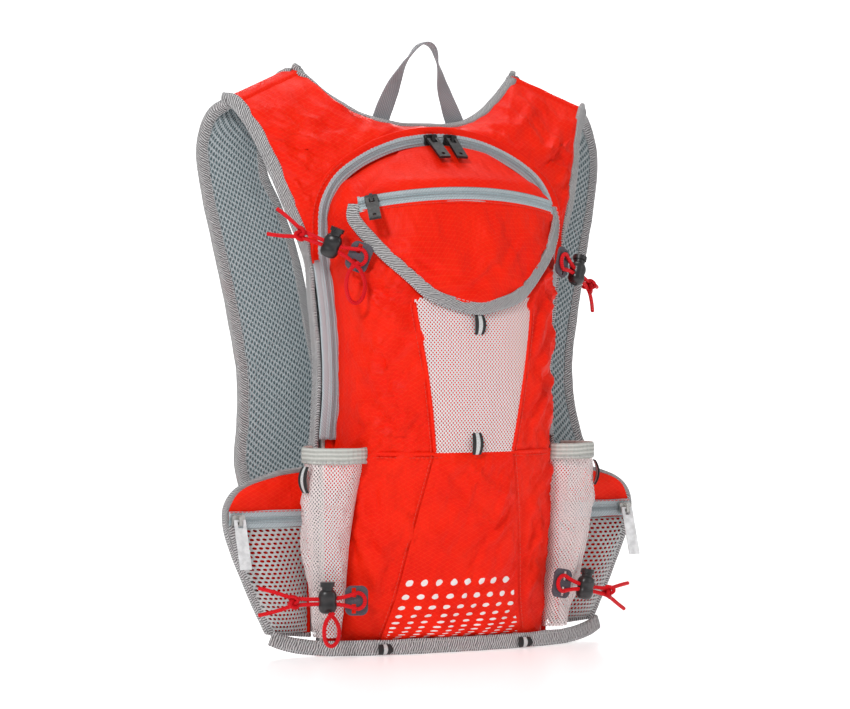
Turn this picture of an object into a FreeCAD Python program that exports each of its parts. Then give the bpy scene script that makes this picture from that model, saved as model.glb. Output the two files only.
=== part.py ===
import FreeCAD, Part
import math
import os
import Sketcher
from FreeCAD import Placement, Rotation, Vector

# Hydration pack. Millimetres, +Z up, -Y is the side away from the wearer.
# The design plane y = 0 is the face that rests on the wearer's back. Every
# sub-part is then moved by origin_shift_y, so that the pack is centred.

DIMENSIONS = [
    ("origin_shift_y", 13.7, "moves the back face so that the pack is centred on the origin"),
    ("back_skin", 3.0, "spacer mesh of the back panel"),
    ("foam_thick", 5.4, "foam sheet behind the back panel"),
    ("rear_wall_thick", 2.8, "rear compartment wall with its lining"),
    ("layer_gap", 0.2, "clearance between sewn layers"),
    ("tape_thick", 1.8, "zip tape"),
    ("tape_width", 8.0, "visible width of the main zip tape"),
    ("coil_width", 2.4, "zip coil"),
    ("coil_height", 1.2, "zip coil"),
    ("arch_radius", 132.0, "outer radius of the top of the main zip arch"),
    ("arch_centre_z", 258.0, "height of that arch's centre"),
    ("corner_radius", 52.0, "outer radius of the arch's corners"),
    ("corner_centre_x", 47.0, "centre of the corner arcs"),
    ("side_width", 99.0, "half width of the bag at chest height"),
    ("waist_width", 90.0, "half width of the bag at its waist"),
    ("waist_z", 200.0, "height of the waist"),
    ("hip_width", 93.0, "half width of the bag under the waist"),
    ("bag_depth", 70.0, "bulge of the bag in front of the zip tape"),
    ("belly_z", 215.0, "height of the deepest point"),
    ("bottom_depth", 22.0, "bulge at the bottom edge"),
    ("shell_wall", 1.8, "fabric and lining of the bag"),
    ("panel_skin", 1.2, "overlaid panels"),
    ("pocket_skin", 3.0, "front pocket panel"),
    ("pocket_zip_radius", 167.0, "the pocket zip bends round the bag at this radius"),
    ("pocket_zip_y", -63.4, "front of the pocket zip at the middle"),
    ("pocket_zip_z", 343.5, "height of the pocket zip's middle"),
    ("pocket_zip_tall", 13.0, "width of the pocket zip's tape"),
    ("pocket_zip_tilt", 25.0, "lean of the pocket zip, in degrees, which arches it over the bag"),
    ("pocket_zip_reach", 80.0, "half length of the pocket zip, seen from the front"),
    ("pocket_tip_z", 258.0, "lowest point of the front pocket"),
    ("binding_thick", 3.0, "folded edge tape"),
    ("strap_thick", 6.0, "padded shoulder strap"),
    ("loop_width", 15.0, "haul loop webbing"),
    ("loop_thick", 1.6, "haul loop webbing"),
    ("cord_radius", 1.5, "elastic cord"),
    ("cord_pitch", 3.4, "distance between the two strands in a lock"),
    ("tab_length", 17.0, "cord tab"),
    ("tab_width", 22.0, "cord tab"),
    ("tab_thick", 1.6, "cord tab"),
    ("tab_slot_width", 3.4, "cord tab slot"),
    ("tab_slot_length", 7.0, "cord tab slot"),
    ("lock_length", 14.0, "cord lock, along the cord"),
    ("lock_depth", 12.0, "cord lock, away from the bag"),
    ("lock_height", 18.0, "cord lock barrel"),
    ("lock_bore", 4.3, "radius of the bore for the button"),
    ("lock_floor", 1.5, "closed end of the barrel"),
    ("lock_slot_width", 3.8, "cord passage through the barrel"),
    ("lock_slot_height", 7.4, "cord passage through the barrel"),
    ("stem_radius", 4.1, "button stem"),
    ("stem_length", 15.0, "button stem"),
    ("stem_slot_height", 9.6, "cord passage through the stem"),
    ("cap_radius", 5.3, "button cap"),
    ("cap_height", 3.2, "button cap"),
    ("button_travel", 2.0, "press of the button"),
    ("knot_radius", 6.0, "overhand knot"),
    ("slider_length", 10.0, "zip slider, along the zip"),
    ("slider_width", 8.0, "zip slider, across the zip"),
    ("slider_height", 4.2, "zip slider"),
    ("slider_channel_width", 3.2, "room for the coil"),
    ("slider_channel_height", 1.8, "room for the coil"),
    ("bridge_thick", 2.4, "slider bridge, along the zip"),
    ("bridge_width", 6.4, "slider bridge, across the zip"),
    ("bridge_height", 4.0, "slider bridge"),
    ("window_width", 3.4, "opening under the bridge"),
    ("window_height", 2.4, "opening under the bridge"),
    ("pull_length", 26.0, "pull tab"),
    ("pull_width", 9.0, "pull tab"),
    ("pull_thick", 2.0, "pull tab"),
    ("pull_bar", 1.4, "bar of the pull tab in the slider bridge"),
    ("pull_window_length", 5.0, "opening of the pull tab round the bridge"),
    ("pull_window_width", 4.2, "opening of the pull tab round the bridge"),
    ("pull_hole_radius", 1.5, "hole near the end of a pull tab"),
    ("ribbon_length", 38.0, "ribbon pull of a wing zip"),
    ("ribbon_thick", 1.0, "ribbon pull of a wing zip"),
    ("buckle_width", 30.0, "sternum buckle"),
    ("buckle_height", 26.0, "sternum buckle"),
    ("buckle_depth", 8.0, "sternum buckle"),
    ("webbing_width", 20.0, "sternum webbing"),
    ("webbing_thick", 1.5, "sternum webbing"),
    ("sternum_z", 214.0, "height of the sternum strap"),
    ("cap_outer_radius", 19.0, "reservoir cap"),
    ("cap_outer_height", 9.0, "reservoir cap"),
    ("port_radius", 6.0, "reservoir outlet port"),
    ("port_bore", 3.2, "reservoir outlet port"),
    ("port_length", 16.0, "reservoir outlet port"),
]

doc = FreeCAD.newDocument("hydration_pack")
sheet = doc.addObject("Spreadsheet::Sheet", "dims")
for row, (alias, value, note) in enumerate(DIMENSIONS, start=1):
    sheet.set("A%d" % row, str(value))
    sheet.setAlias("A%d" % row, alias)
    sheet.set("B%d" % row, note)
doc.recompute()

SECTION_POWER = 2.5       # squareness of the bag's horizontal sections
TOP_POWER = 0.6           # roundness of the bag's top
BOTTOM_POWER = 1.6        # how the bag tapers to its bottom edge
BAG_BOTTOM_Z = 6.0
SUBPARTS = []


def size(alias):
    """A driving dimension from the sheet, in millimetres."""
    return float(sheet.get(alias))


BACK_Y = -size("back_skin") - size("layer_gap")
WALL_Y = BACK_Y - size("foam_thick") - size("layer_gap")
TAPE_Y = WALL_Y - size("rear_wall_thick") - size("layer_gap")
BAG_Y = TAPE_Y - size("tape_thick") - size("layer_gap")
TAPE_FRONT_Y = TAPE_Y - size("tape_thick")


def placed(item, x=0.0, y=0.0, z=0.0, rotation=None):
    """Place a sub-part in the pack and register it for export."""
    shift = Vector(x, y + size("origin_shift_y"), z)
    item.Placement = Placement(shift, rotation or Rotation())
    SUBPARTS.append(item)
    return item


def feature(label, shape):
    """A sub-part whose shape comes from Part's own functions."""
    item = doc.addObject("Part::Feature", label)
    item.Label = label
    item.Shape = shape
    return placed(item)


def mirrored(shape):
    return shape.mirror(Vector(0, 0, 0), Vector(1, 0, 0))


def sides():
    """Names and X signs of the two sides; left is the pack's -X side."""
    return (("left", -1), ("right", 1))


# ---------------------------------------------------------------- bag surface

def side_half_width(z):
    """Half width of the outline below the arch's corners."""
    waist = size("waist_width")
    if z >= size("waist_z"):
        rise = min((z - size("waist_z")) / 100.0, 1.0)
        return waist + (size("side_width") - waist) * rise ** 2
    fall = min((size("waist_z") - z) / 50.0, 1.0)
    return waist + (size("hip_width") - waist) * fall ** 2 * (3 - 2 * fall)


def corner_centre_z():
    """Height at which the corner arc touches the top arc from inside."""
    reach = size("arch_radius") - size("corner_radius")
    return size("arch_centre_z") + math.sqrt(reach ** 2 - size("corner_centre_x") ** 2)


def half_width(z, margin=0.0):
    """Half width of the bag's outline, moved outwards by margin."""
    centre_x = size("corner_centre_x")
    centre_z = corner_centre_z()
    if z <= centre_z:
        return side_half_width(z) + margin
    corner = size("corner_radius") + margin
    rise = (centre_z - size("arch_centre_z")) / (size("arch_radius") - size("corner_radius"))
    if z <= centre_z + corner * rise:
        return centre_x + math.sqrt(corner ** 2 - (z - centre_z) ** 2)
    arch = size("arch_radius") + margin
    return math.sqrt(max(arch ** 2 - (z - size("arch_centre_z")) ** 2, 0.0))


def outline_top(margin=0.0):
    return size("arch_centre_z") + size("arch_radius") + margin


def bag_depth(z):
    """Bulge of the bag in front of the zip tape at a height."""
    deepest = size("bag_depth")
    belly = size("belly_z")
    if z >= belly:
        rise = min((z - belly) / (outline_top(-size("tape_width")) - belly), 1.0)
        return deepest * (1 - rise ** 2) ** TOP_POWER
    fall = (belly - z) / belly
    return deepest - (deepest - size("bottom_depth")) * fall ** BOTTOM_POWER


def bag_y(x, z, lift=0.0):
    """Front surface of the bag, lifted outwards."""
    width = half_width(z, lift - size("tape_width"))
    inside = max(1 - (abs(x) / width) ** SECTION_POWER, 0.0)
    return BAG_Y - (bag_depth(z) + lift) * inside ** (1 / SECTION_POWER)


def bag_section(z, lift):
    """Closed horizontal section of the bag, lifted outwards."""
    width = half_width(z, lift - size("tape_width"))
    depth = bag_depth(z) + lift
    points = []
    for step in range(13):
        angle = math.pi * step / 12
        across = math.copysign(abs(math.cos(angle)) ** (2 / SECTION_POWER), math.cos(angle))
        out = abs(math.sin(angle)) ** (2 / SECTION_POWER)
        points.append(Vector(width * across, BAG_Y - depth * out, z))
    curve = Part.BSplineCurve()
    curve.interpolate(points)
    back = Part.LineSegment(points[-1], points[0])
    return Part.Wire([curve.toShape(), back.toShape()])


BAG_LEVELS = (BAG_BOTTOM_Z, 30, 60, 95, 130, 165, 200, 235, 265, 295, 318, 336, 350, 361, 370, 376, 380)


def bag_solid(lift=0.0):
    """The bag's outer form, lifted outwards; its bottom and top follow the lift."""
    levels = [BAG_BOTTOM_Z - lift] + list(BAG_LEVELS[1:])
    return Part.makeLoft([bag_section(z, lift) for z in levels], True, True)


def outline_face(margin, low, y, fade=0.0, steps=34):
    """Flat face of the bag's outline at a depth; above the shoulders the margin fades."""
    top = outline_top(margin - fade) - 0.05
    points = []
    for step in range(steps + 1):
        z = low + (top - low) * math.sin(0.5 * math.pi * step / steps)
        faded = fade * min(max((z - 290.0) / 60.0, 0.0), 1.0)
        points.append(Vector(half_width(z, margin - faded), y, z))
    other = [Vector(-p.x, p.y, p.z) for p in reversed(points)]
    return Part.Face(Part.makePolygon(points + other + [points[0]]))


def outline_plate(margin, low, y, thick, fade=0.0):
    """Plate of the bag's outline; it grows towards the front."""
    return outline_face(margin, low, y, fade).extrude(Vector(0, -thick, 0))


def front_prism(points):
    """Prism along Y of a closed outline given in X and Z."""
    ring = [Vector(x, 0, z) for x, z in points]
    face = Part.Face(Part.makePolygon(ring + [ring[0]]))
    return face.extrude(Vector(0, -200, 0))


def symmetric(points):
    """Mirror half an outline, given from bottom to top on the +X side."""
    return list(points) + [(-x, z) for x, z in reversed(points)]


def ruled(sections):
    """Closed solid through closed polygons of equal point count."""
    wires = [Part.makePolygon(list(s) + [s[0]]) for s in sections]
    solid = Part.makeLoft(wires, True, True)
    if solid.Volume < 0:
        solid.reverse()
    return solid


def edge_tape(path, thick, width, gap):
    """Folded tape along an edge: path holds (x, z, y) and the tape lies outside it."""
    sections = []
    for i, (x, z, y) in enumerate(path):
        before = path[max(i - 1, 0)]
        after = path[min(i + 1, len(path) - 1)]
        run = Vector(after[0] - before[0], 0, after[1] - before[1]).normalize()
        out = Vector(run.z, 0, -run.x)
        inner = Vector(x, y, z) + out * gap
        outer = inner + out * thick
        half = Vector(0, width / 2, 0)
        sections.append([inner - half, outer - half, outer + half, inner + half])
    return ruled(sections)


# ------------------------------------------------------------------ soft parts

def back_panel_and_rear():
    feature("back_panel", outline_plate(4.0, 0.0, 0.0, size("back_skin"), fade=6.0))
    feature("back_foam", outline_plate(1.0, 8.0, BACK_Y, size("foam_thick"), fade=2.0))
    wall = outline_plate(-1.0, BAG_BOTTOM_Z, WALL_Y, size("rear_wall_thick"))
    feature("rear_wall", wall)


def main_zip():
    """Tape round the bag, open at the bottom, with a coil along its middle."""
    low = 160.0
    outer = outline_plate(0.0, low, TAPE_Y, size("tape_thick"))
    inner = outline_plate(-size("tape_width"), low - 1, TAPE_Y + 1, size("tape_thick") + 2)
    middle = -size("tape_width") / 2
    half = size("coil_width") / 2
    coil_out = outline_plate(middle + half, low, TAPE_FRONT_Y, size("coil_height"))
    coil_in = outline_plate(middle - half, low - 1, TAPE_FRONT_Y + 1, size("coil_height") + 2)
    tape = outer.cut(inner)
    coil = coil_out.cut(coil_in)
    feature("main_zip", tape.fuse(coil).removeSplitter())


POCKET_HALF = ((12.0, 260.0), (34.0, 267.0), (51.0, 282.0), (70.0, 302.0), (82.0, 320.0))


def pocket_zip_drop(x):
    """How far the tilted pocket zip is lower at x than at its middle."""
    radius = size("pocket_zip_radius")
    sag = radius - math.sqrt(radius ** 2 - x ** 2)
    return sag * math.sin(math.radians(size("pocket_zip_tilt")))


def pocket_outline(grow=0.0, top=336.6, arched=True):
    """Shield of the front pocket: its lower curve, grown outwards, and its arched top."""
    points = []
    for x, z in POCKET_HALF:
        steer = math.atan2(x, 330.0 - z)
        points.append((x + grow * math.sin(steer), z - grow * math.cos(steer)))
    points.append((84.0 + grow, top - arched * pocket_zip_drop(84.0)))
    points += [(x, top - arched * pocket_zip_drop(x)) for x in (64.0, 42.0, 20.0)]
    bottom = (0.0, size("pocket_tip_z") - grow)
    return [bottom] + points + [(-x, z) for x, z in reversed(points)]


def main_bag():
    """Front shell of the bag, its overlaid panels and the front pocket."""
    outer = bag_solid()
    inner_levels = [BAG_BOTTOM_Z + size("shell_wall")] + list(BAG_LEVELS[1:-1]) + [378.5]
    wall = size("shell_wall")
    inner = Part.makeLoft([bag_section(z, -wall) for z in inner_levels], True, True)
    feature("main_shell", outer.cut(inner))

    skin = bag_solid(size("panel_skin")).cut(bag_solid(0.15))
    mesh = front_prism(symmetric(((32.0, 152.0), (39.5, 205.0), (47.0, 252.5))))
    mesh = mesh.cut(front_prism(pocket_outline(4.6)))
    feature("centre_mesh_panel", skin.common(mesh))
    lower = front_prism(symmetric(((59.0, 9.0), (51.0, 41.0), (45.5, 76.0), (39.5, 112.0), (32.0, 151.0))))
    feature("lower_panel", skin.common(lower))

    band = front_prism(pocket_outline(4.2)).cut(front_prism(pocket_outline(-4.2, 400.0, False)))
    pocket = bag_solid(size("pocket_skin")).cut(bag_solid(0.15))
    feature("front_pocket", pocket.common(front_prism(pocket_outline(-4.6))).cut(band))
    binding_skin = bag_solid(size("pocket_skin") + 0.8).cut(bag_solid(0.15))
    feature("front_pocket_binding", binding_skin.common(band))


def pocket_zip_tilt():
    """Turn about X that leans the pocket zip's plane, so that its middle is highest."""
    return Rotation(Vector(1, 0, 0), -size("pocket_zip_tilt"))


def pocket_zip():
    """Zip of the front pocket: a leaning bent band with a coil along its middle."""
    radius = size("pocket_zip_radius")
    tall = size("pocket_zip_tall")
    middle = Vector(0, size("pocket_zip_y"), size("pocket_zip_z"))
    half_angle = math.degrees(math.asin(size("pocket_zip_reach") / radius))

    def band(front, back, height):
        base = Vector(0, radius, -height / 2)
        start = Part.makeCylinder(front, height, base, Vector(0, 0, 1), 2 * half_angle)
        start = start.cut(Part.makeCylinder(back, height, base, Vector(0, 0, 1)))
        start.rotate(base, Vector(0, 0, 1), 270.0 - half_angle)
        return start

    tape = band(radius, radius - size("tape_thick"), tall)
    coil = band(radius + size("coil_height"), radius - 0.5, size("coil_width"))
    whole = tape.fuse(coil).removeSplitter()
    whole = whole.transformed(Placement(middle, pocket_zip_tilt()).toMatrix(), True)
    feature("front_pocket_zip", whole)


# Neck, shoulder and arm-hole outline of the yoke on the +X side: x, z, y.
NECK_LINE = ((0.0, 397.0, 10.0), (20.0, 397.5, 12.0), (38.0, 401.0, 18.0), (54.0, 408.0, 25.0),
             (68.0, 417.5, 32.0), (80.0, 428.0, 38.0), (90.0, 438.0, 43.0))
ARM_LINE = ((147.0, 413.0, 31.0), (136.0, 393.0, 20.0), (127.5, 368.0, 8.0), (118.0, 338.0, -2.0),
            (108.5, 310.0, -7.0), (103.5, 290.0, -8.0))
LOWER_EDGE = ((99.5, 265.0, -7.0), (96.0, 235.0, -6.5), (94.5, 200.0, -6.5), (96.5, 165.0, -6.5),
              (97.5, 140.0, -6.5), (97.5, 80.0, -6.5), (97.5, 16.0, -6.5))


def yoke_section(x, z, y):
    """Radial strip of the yoke from the zip arch out to a point of its outline."""
    aim = math.atan2(x, z - 300.0)
    low = 40.0
    high = 140.0
    for _ in range(40):
        reach = (low + high) / 2
        foot_z = 300.0 + reach * math.cos(aim)
        inside = abs(reach * math.sin(aim)) < half_width(foot_z, 1.5)
        inside = inside and foot_z < outline_top(1.5)
        low, high = (reach, high) if inside else (low, reach)
    foot = Vector(reach * math.sin(aim), TAPE_FRONT_Y, 300.0 + reach * math.cos(aim))
    tip = Vector(x, y, z)
    front = []
    back = []
    for part in (0.0, 0.3, 0.65, 1.0):
        point = foot + (tip - foot) * part
        point.y = foot.y + (tip.y - foot.y) * part ** 1.15
        front.append(point)
        back.append(point + Vector(0, 2.6, 0))
    return front + list(reversed(back))


def yoke_and_bindings():
    """Shoulder yoke with its neck, arm-hole and side tapes."""
    right = list(NECK_LINE) + list(ARM_LINE)
    line = [(-x, z, y) for x, z, y in reversed(right[1:])] + right
    feature("shoulder_yoke", ruled([yoke_section(x, z, y) for x, z, y in line]))

    neck = [(-x, z, y + 1.3) for x, z, y in reversed(NECK_LINE[1:])]
    neck += [(x, z, y + 1.3) for x, z, y in NECK_LINE]
    neck = list(reversed(neck))
    feature("neck_binding", edge_tape(neck, size("binding_thick"), 8.0, 0.3))

    side = [(x, z, y + 1.3) for x, z, y in ARM_LINE] + list(LOWER_EDGE)
    right_tape = edge_tape(list(reversed(side)), size("binding_thick"), 11.0, 0.3)
    feature("edge_bindings", Part.makeCompound([right_tape, mirrored(right_tape)]))


# Strap sections on the +X side: inner edge x z y, outer edge x z y (outer face),
# then the step from the outer face to the lining as y and z.
STRAP_SECTIONS = (
    ((92.5, 440.5, 49.0), (151.5, 416.0, 39.5), (-1.5, -5.8)),
    ((96.0, 440.0, 55.0), (154.0, 413.0, 46.0), (-4.0, -4.5)),
    ((102.0, 431.0, 60.0), (161.0, 404.0, 54.0), (-6.0, -1.0)),
    ((114.0, 396.0, 58.0), (167.5, 386.0, 56.0), (-6.0, 0.0)),
    ((117.0, 363.0, 55.0), (168.0, 366.0, 55.0), (-6.0, 0.0)),
    ((105.0, 334.0, 53.0), (163.0, 334.0, 53.0), (-6.0, 0.0)),
    ((93.0, 300.0, 51.0), (156.0, 301.0, 51.0), (-6.0, 0.0)),
    ((83.0, 250.0, 48.0), (146.5, 252.0, 48.0), (-6.0, 0.0)),
    ((77.0, 206.0, 45.0), (140.0, 208.0, 45.0), (-6.0, 0.0)),
    ((80.0, 172.0, 40.0), (142.0, 172.0, 40.0), (-6.0, 0.0)),
    ((86.0, 144.0, 32.0), (147.0, 144.0, 32.0), (-6.0, 0.0)),
    ((90.0, 122.0, 18.0), (148.0, 122.0, 18.0), (-6.0, 0.0)),
    ((92.0, 100.0, 8.0), (146.0, 100.0, 8.0), (-6.0, 0.0)),
)


def strap_strip(first, last):
    """Part of the strap's width, as fractions from its inner to its outer edge."""
    sections = []
    for (x1, z1, y1), (x2, z2, y2), (step_y, step_z) in STRAP_SECTIONS:
        inner = Vector(x1, y1, z1)
        outer = Vector(x2, y2, z2)
        across = outer - inner
        start = inner + across * first
        end = inner + across * last
        down = Vector(0, step_y, step_z)
        sections.append([start, end, end + down, start + down])
    return ruled(sections)


def straps():
    """Padded straps and the tape along both of their edges."""
    pad = strap_strip(0.055, 0.945)
    edges = [strap_strip(0.0, 0.05), strap_strip(0.95, 1.0)]
    feature("right_strap", pad)
    feature("left_strap", mirrored(pad))
    feature("strap_bindings", Part.makeCompound(edges + [mirrored(e) for e in edges]))


WING_EDGE = ((101.5, 13.0), (136.0, 16.0), (150.0, 45.0), (163.0, 75.0), (169.5, 97.0), (168.5, 113.0),
             (157.0, 126.0), (128.0, 136.0), (101.5, 139.0))
WING_FRONT_Y = -6.4


def wing_half_width(z):
    """Outer edge of the wing's pocket at a height."""
    edge = WING_EDGE[1:5]
    for (x1, z1), (x2, z2) in zip(edge, edge[1:]):
        if z <= z2:
            return x1 + (x2 - x1) * max(z - z1, 0.0) / (z2 - z1)
    return edge[-1][0]


def arc_wall(first, middle, last, thick, z):
    """Thin horizontal section that follows an arc through three points."""
    outer = Part.Arc(Vector(*first, z), Vector(*middle, z), Vector(*last, z))
    inner = Part.Arc(Vector(first[0] + thick, first[1] + 0.4 * thick, z),
                     Vector(middle[0] - thick, middle[1] + 0.6 * thick, z),
                     Vector(last[0] - 1.6 * thick, last[1] - 0.1, z))
    joins = [Part.LineSegment(outer.EndPoint, inner.EndPoint),
             Part.LineSegment(inner.StartPoint, outer.StartPoint)]
    return Part.Wire(Part.__sortEdges__([c.toShape() for c in (outer, joins[0], inner, joins[1])]))


# Side pocket: height, front seam x, bulge x, bulge y.
POCKET_LEVELS = ((15.0, 84.0, 99.0, -29.0), (45.0, 84.0, 108.0, -36.0), (80.0, 83.0, 116.0, -38.0),
                 (115.0, 80.0, 119.0, -38.0), (143.5, 77.0, 116.5, -38.0))
POCKET_BACK = (103.0, -13.2)


def pocket_wall(levels, thick, grow=0.0):
    wires = []
    for z, seam_x, bulge_x, bulge_y in levels:
        seam = (seam_x, bag_y(seam_x, z) - 0.6 - grow)
        back = (POCKET_BACK[0] + grow, POCKET_BACK[1])
        wires.append(arc_wall(seam, (bulge_x + grow, bulge_y - 0.5 * grow), back, thick, z))
    return Part.makeLoft(wires, True, True)


def side_pockets():
    """Mesh side pockets, open at the top, each with an elastic band."""
    wall = pocket_wall(POCKET_LEVELS, 1.4)
    z, seam_x, bulge_x, bulge_y = POCKET_LEVELS[0]
    seam = Vector(seam_x, bag_y(seam_x, z) - 0.6, z)
    back = Vector(POCKET_BACK[0], POCKET_BACK[1], z)
    rim = Part.Arc(seam, Vector(bulge_x, bulge_y, z), back).toShape()
    chord = Part.LineSegment(back, seam).toShape()
    floor = Part.Face(Part.Wire([rim, chord])).extrude(Vector(0, 0, -1.4))
    right = wall.fuse(floor)
    top = POCKET_LEVELS[-1]
    band = pocket_wall(((top[0] + 0.2,) + top[1:], (top[0] + 12.0, 76.0, 115.0, -38.0)), 2.4, 0.6)
    feature("right_side_pocket", right)
    feature("left_side_pocket", mirrored(right))
    feature("pocket_elastics", Part.makeCompound([band, mirrored(band)]))


def wings():
    """Padded hip wings, each with a mesh pocket and a zip along its top."""
    points = [Vector(x, 0, z) for x, z in WING_EDGE]
    rim = Part.BSplineCurve()
    rim.interpolate(points[1:-1])
    edges = [Part.LineSegment(points[0], points[1]).toShape(), rim.toShape(),
             Part.LineSegment(points[-2], points[-1]).toShape(),
             Part.LineSegment(points[-1], points[0]).toShape()]
    plate = Part.Face(Part.Wire(edges)).extrude(Vector(0, WING_FRONT_Y + 0.4, 0))
    plate.translate(Vector(0, -0.2, 0))
    bulges = ((17.0, -12.0), (45.0, -19.0), (72.0, -19.0), (93.5, -12.0))
    wires = []
    for z, bulge in bulges:
        inner = Vector(106.0, WING_FRONT_Y - 0.2, z)
        outer = Vector(wing_half_width(z) - 3.0, WING_FRONT_Y - 0.2, z)
        crown = Vector(inner.x + 0.6 * (outer.x - inner.x), bulge, z)
        arc = Part.Arc(inner, crown, outer).toShape()
        wires.append(Part.Wire([arc, Part.LineSegment(outer, inner).toShape()]))
    mesh = Part.makeLoft(wires, True, True)
    feature("right_wing", plate)
    feature("left_wing", mirrored(plate))
    feature("wing_meshes", Part.makeCompound([mesh, mirrored(mesh)]))


WING_ZIP_Z = 101.5
WING_ZIP_INNER = 106.0
WING_ZIP_OUTER = 168.0
WING_TAPE_Y = WING_FRONT_Y - 0.2


def wing_zips():
    """Straight zips on the wings: a tape with a coil, made of boxes."""
    for name, sign in sides():
        tape = doc.addObject("Part::Box", name + "_wing_tape")
        tape.Length = WING_ZIP_OUTER - WING_ZIP_INNER
        tape.setExpression("Width", "dims.tape_thick")
        tape.Height = 13.0
        coil = doc.addObject("Part::Box", name + "_wing_coil")
        coil.Length = WING_ZIP_OUTER - WING_ZIP_INNER
        coil.setExpression("Width", "dims.coil_height + 0.5")
        coil.setExpression("Height", "dims.coil_width")
        left_x = WING_ZIP_INNER if sign > 0 else -WING_ZIP_OUTER
        tape_front = WING_TAPE_Y - size("tape_thick")
        tape.Placement.Base = Vector(left_x, tape_front, WING_ZIP_Z - 6.5)
        coil_front = tape_front - size("coil_height")
        coil.Placement.Base = Vector(left_x, coil_front, WING_ZIP_Z - size("coil_width") / 2)
        zip_band = doc.addObject("Part::Fuse", name + "_wing_zip")
        zip_band.Base = tape
        zip_band.Tool = coil
        zip_band.Label = name + "_wing_zip"
        placed(zip_band)


# Base binding on the +X side: x, y, height of its lower edge.
BASE_LINE = ((0.0, -42.5, 0.0), (30.0, -42.0, 0.0), (58.0, -38.5, 0.0), (80.0, -33.0, 0.0),
             (99.0, -27.0, 0.0), (115.0, -20.5, 1.5), (127.0, -15.5, 4.0), (137.0, -11.0, 8.0))


BASE_TRIM = 0.6            # cut off level, so that the pack stands on one flat face


def base():
    """Bottom panel and the ribbed tape that the pack stands on."""
    line = [(-x, y, z) for x, y, z in reversed(BASE_LINE[1:])] + list(BASE_LINE)
    sections = []
    for i, (x, y, z) in enumerate(line):
        before = line[max(i - 1, 0)]
        after = line[min(i + 1, len(line) - 1)]
        run = Vector(after[0] - before[0], after[1] - before[1], 0).normalize()
        out = Vector(run.y, -run.x, 0) * size("binding_thick")
        inner = Vector(x, y, z - BASE_TRIM)
        up = Vector(0, 0, 11.5 + BASE_TRIM)
        sections.append([inner, inner + out, inner + out + up, inner + up])
    below = Part.makeBox(400, 200, 5, Vector(-200, -100, -5))
    feature("base_binding", ruled(sections).cut(below).removeSplitter())
    corners = [Vector(x, y + 0.4, 2.4) for x, y, z in line if abs(x) < 100]
    corners += [Vector(97.0, BACK_Y, 2.4), Vector(-97.0, BACK_Y, 2.4)]
    plate = Part.Face(Part.makePolygon(corners + [corners[0]])).extrude(Vector(0, 0, 2.4))
    feature("base_panel", plate)


def webbing_strip(path, twists, width, thick):
    """Flat webbing along a path; a twist of 0 puts its width along Y, 90 across the path."""
    sections = []
    for i, (x, y, z) in enumerate(path):
        before = path[max(i - 1, 0)]
        after = path[min(i + 1, len(path) - 1)]
        run = Vector(after[0] - before[0], 0, after[2] - before[2]).normalize()
        side = Vector(run.z, 0, -run.x)
        depth = Vector(0, 1, 0)
        turn = math.radians(twists[i])
        half = (depth * math.cos(turn) + side * math.sin(turn)) * (width / 2)
        out = (side * math.cos(turn) - depth * math.sin(turn)) * (thick / 2)
        point = Vector(x, y, z)
        sections.append([point - out - half, point + out - half, point + out + half, point - out + half])
    return ruled(sections)


# The loop faces the front at both feet and turns edge-on over the top.
LOOP_PATH = ((-32.0, 26.5, 398.5), (-27.0, 25.5, 413.0), (-20.0, 22.5, 431.0), (-12.5, 19.0, 447.0),
             (-4.5, 16.0, 458.5), (3.0, 15.0, 461.5), (9.5, 15.5, 457.0), (14.5, 18.0, 445.0),
             (19.5, 21.5, 430.0), (26.5, 24.5, 414.0), (34.0, 26.5, 398.5))
LOOP_TWISTS = (90.0, 84.0, 66.0, 40.0, 14.0, 0.0, -14.0, -40.0, -66.0, -84.0, -90.0)


def haul_loop():
    feature("haul_loop", webbing_strip(LOOP_PATH, LOOP_TWISTS, size("loop_width"), size("loop_thick")))


def hydration_set():
    """Divider, water reservoir, its cap and its outlet port inside the bag."""
    front = BAG_Y - 0.6
    levels = (40.0, 70.0, 120.0, 200.0, 270.0, 320.0, 336.0)
    wires = []
    for z in levels:
        bulge = 22.0 if 60.0 < z < 330.0 else 10.0
        arc = Part.Arc(Vector(66, front, z), Vector(0, front - bulge, z), Vector(-66, front, z)).toShape()
        chord = Part.LineSegment(Vector(-66, front, z), Vector(66, front, z)).toShape()
        wires.append(Part.Wire([arc, chord]))
    feature("reservoir", Part.makeLoft(wires, True, True))
    sheet_wires = []
    for z, bulge in ((34.0, 26.0), (80.0, 34.0), (250.0, 34.0), (320.0, 34.0)):
        rear = Part.Arc(Vector(68, front - 3, z), Vector(0, front - bulge, z), Vector(-68, front - 3, z))
        face = Part.Arc(Vector(68, front - 4.2, z), Vector(0, front - bulge - 1.2, z),
                        Vector(-68, front - 4.2, z))
        joins = [Part.LineSegment(rear.EndPoint, face.EndPoint),
                 Part.LineSegment(face.StartPoint, rear.StartPoint)]
        edges = Part.__sortEdges__([c.toShape() for c in (rear, joins[0], face, joins[1])])
        sheet_wires.append(Part.Wire(edges))
    feature("hydration_sleeve", Part.makeLoft(sheet_wires, True, True))


# ----------------------------------------------------------- PartDesign helpers

def new_body(label):
    body = doc.addObject("PartDesign::Body", label)
    body.Label = label
    return body


def sketch_on(body, role, name, offset=0.0):
    """Sketch on one of the body's own origin planes."""
    sketch = body.newObject("Sketcher::SketchObject", name)
    plane = [item for item in body.Origin.OriginFeatures if item.Role == role][0]
    sketch.AttachmentSupport = (plane, "")
    sketch.MapMode = "FlatFace"
    sketch.AttachmentOffset = Placement(Vector(0, 0, offset), Rotation())
    return sketch


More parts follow.
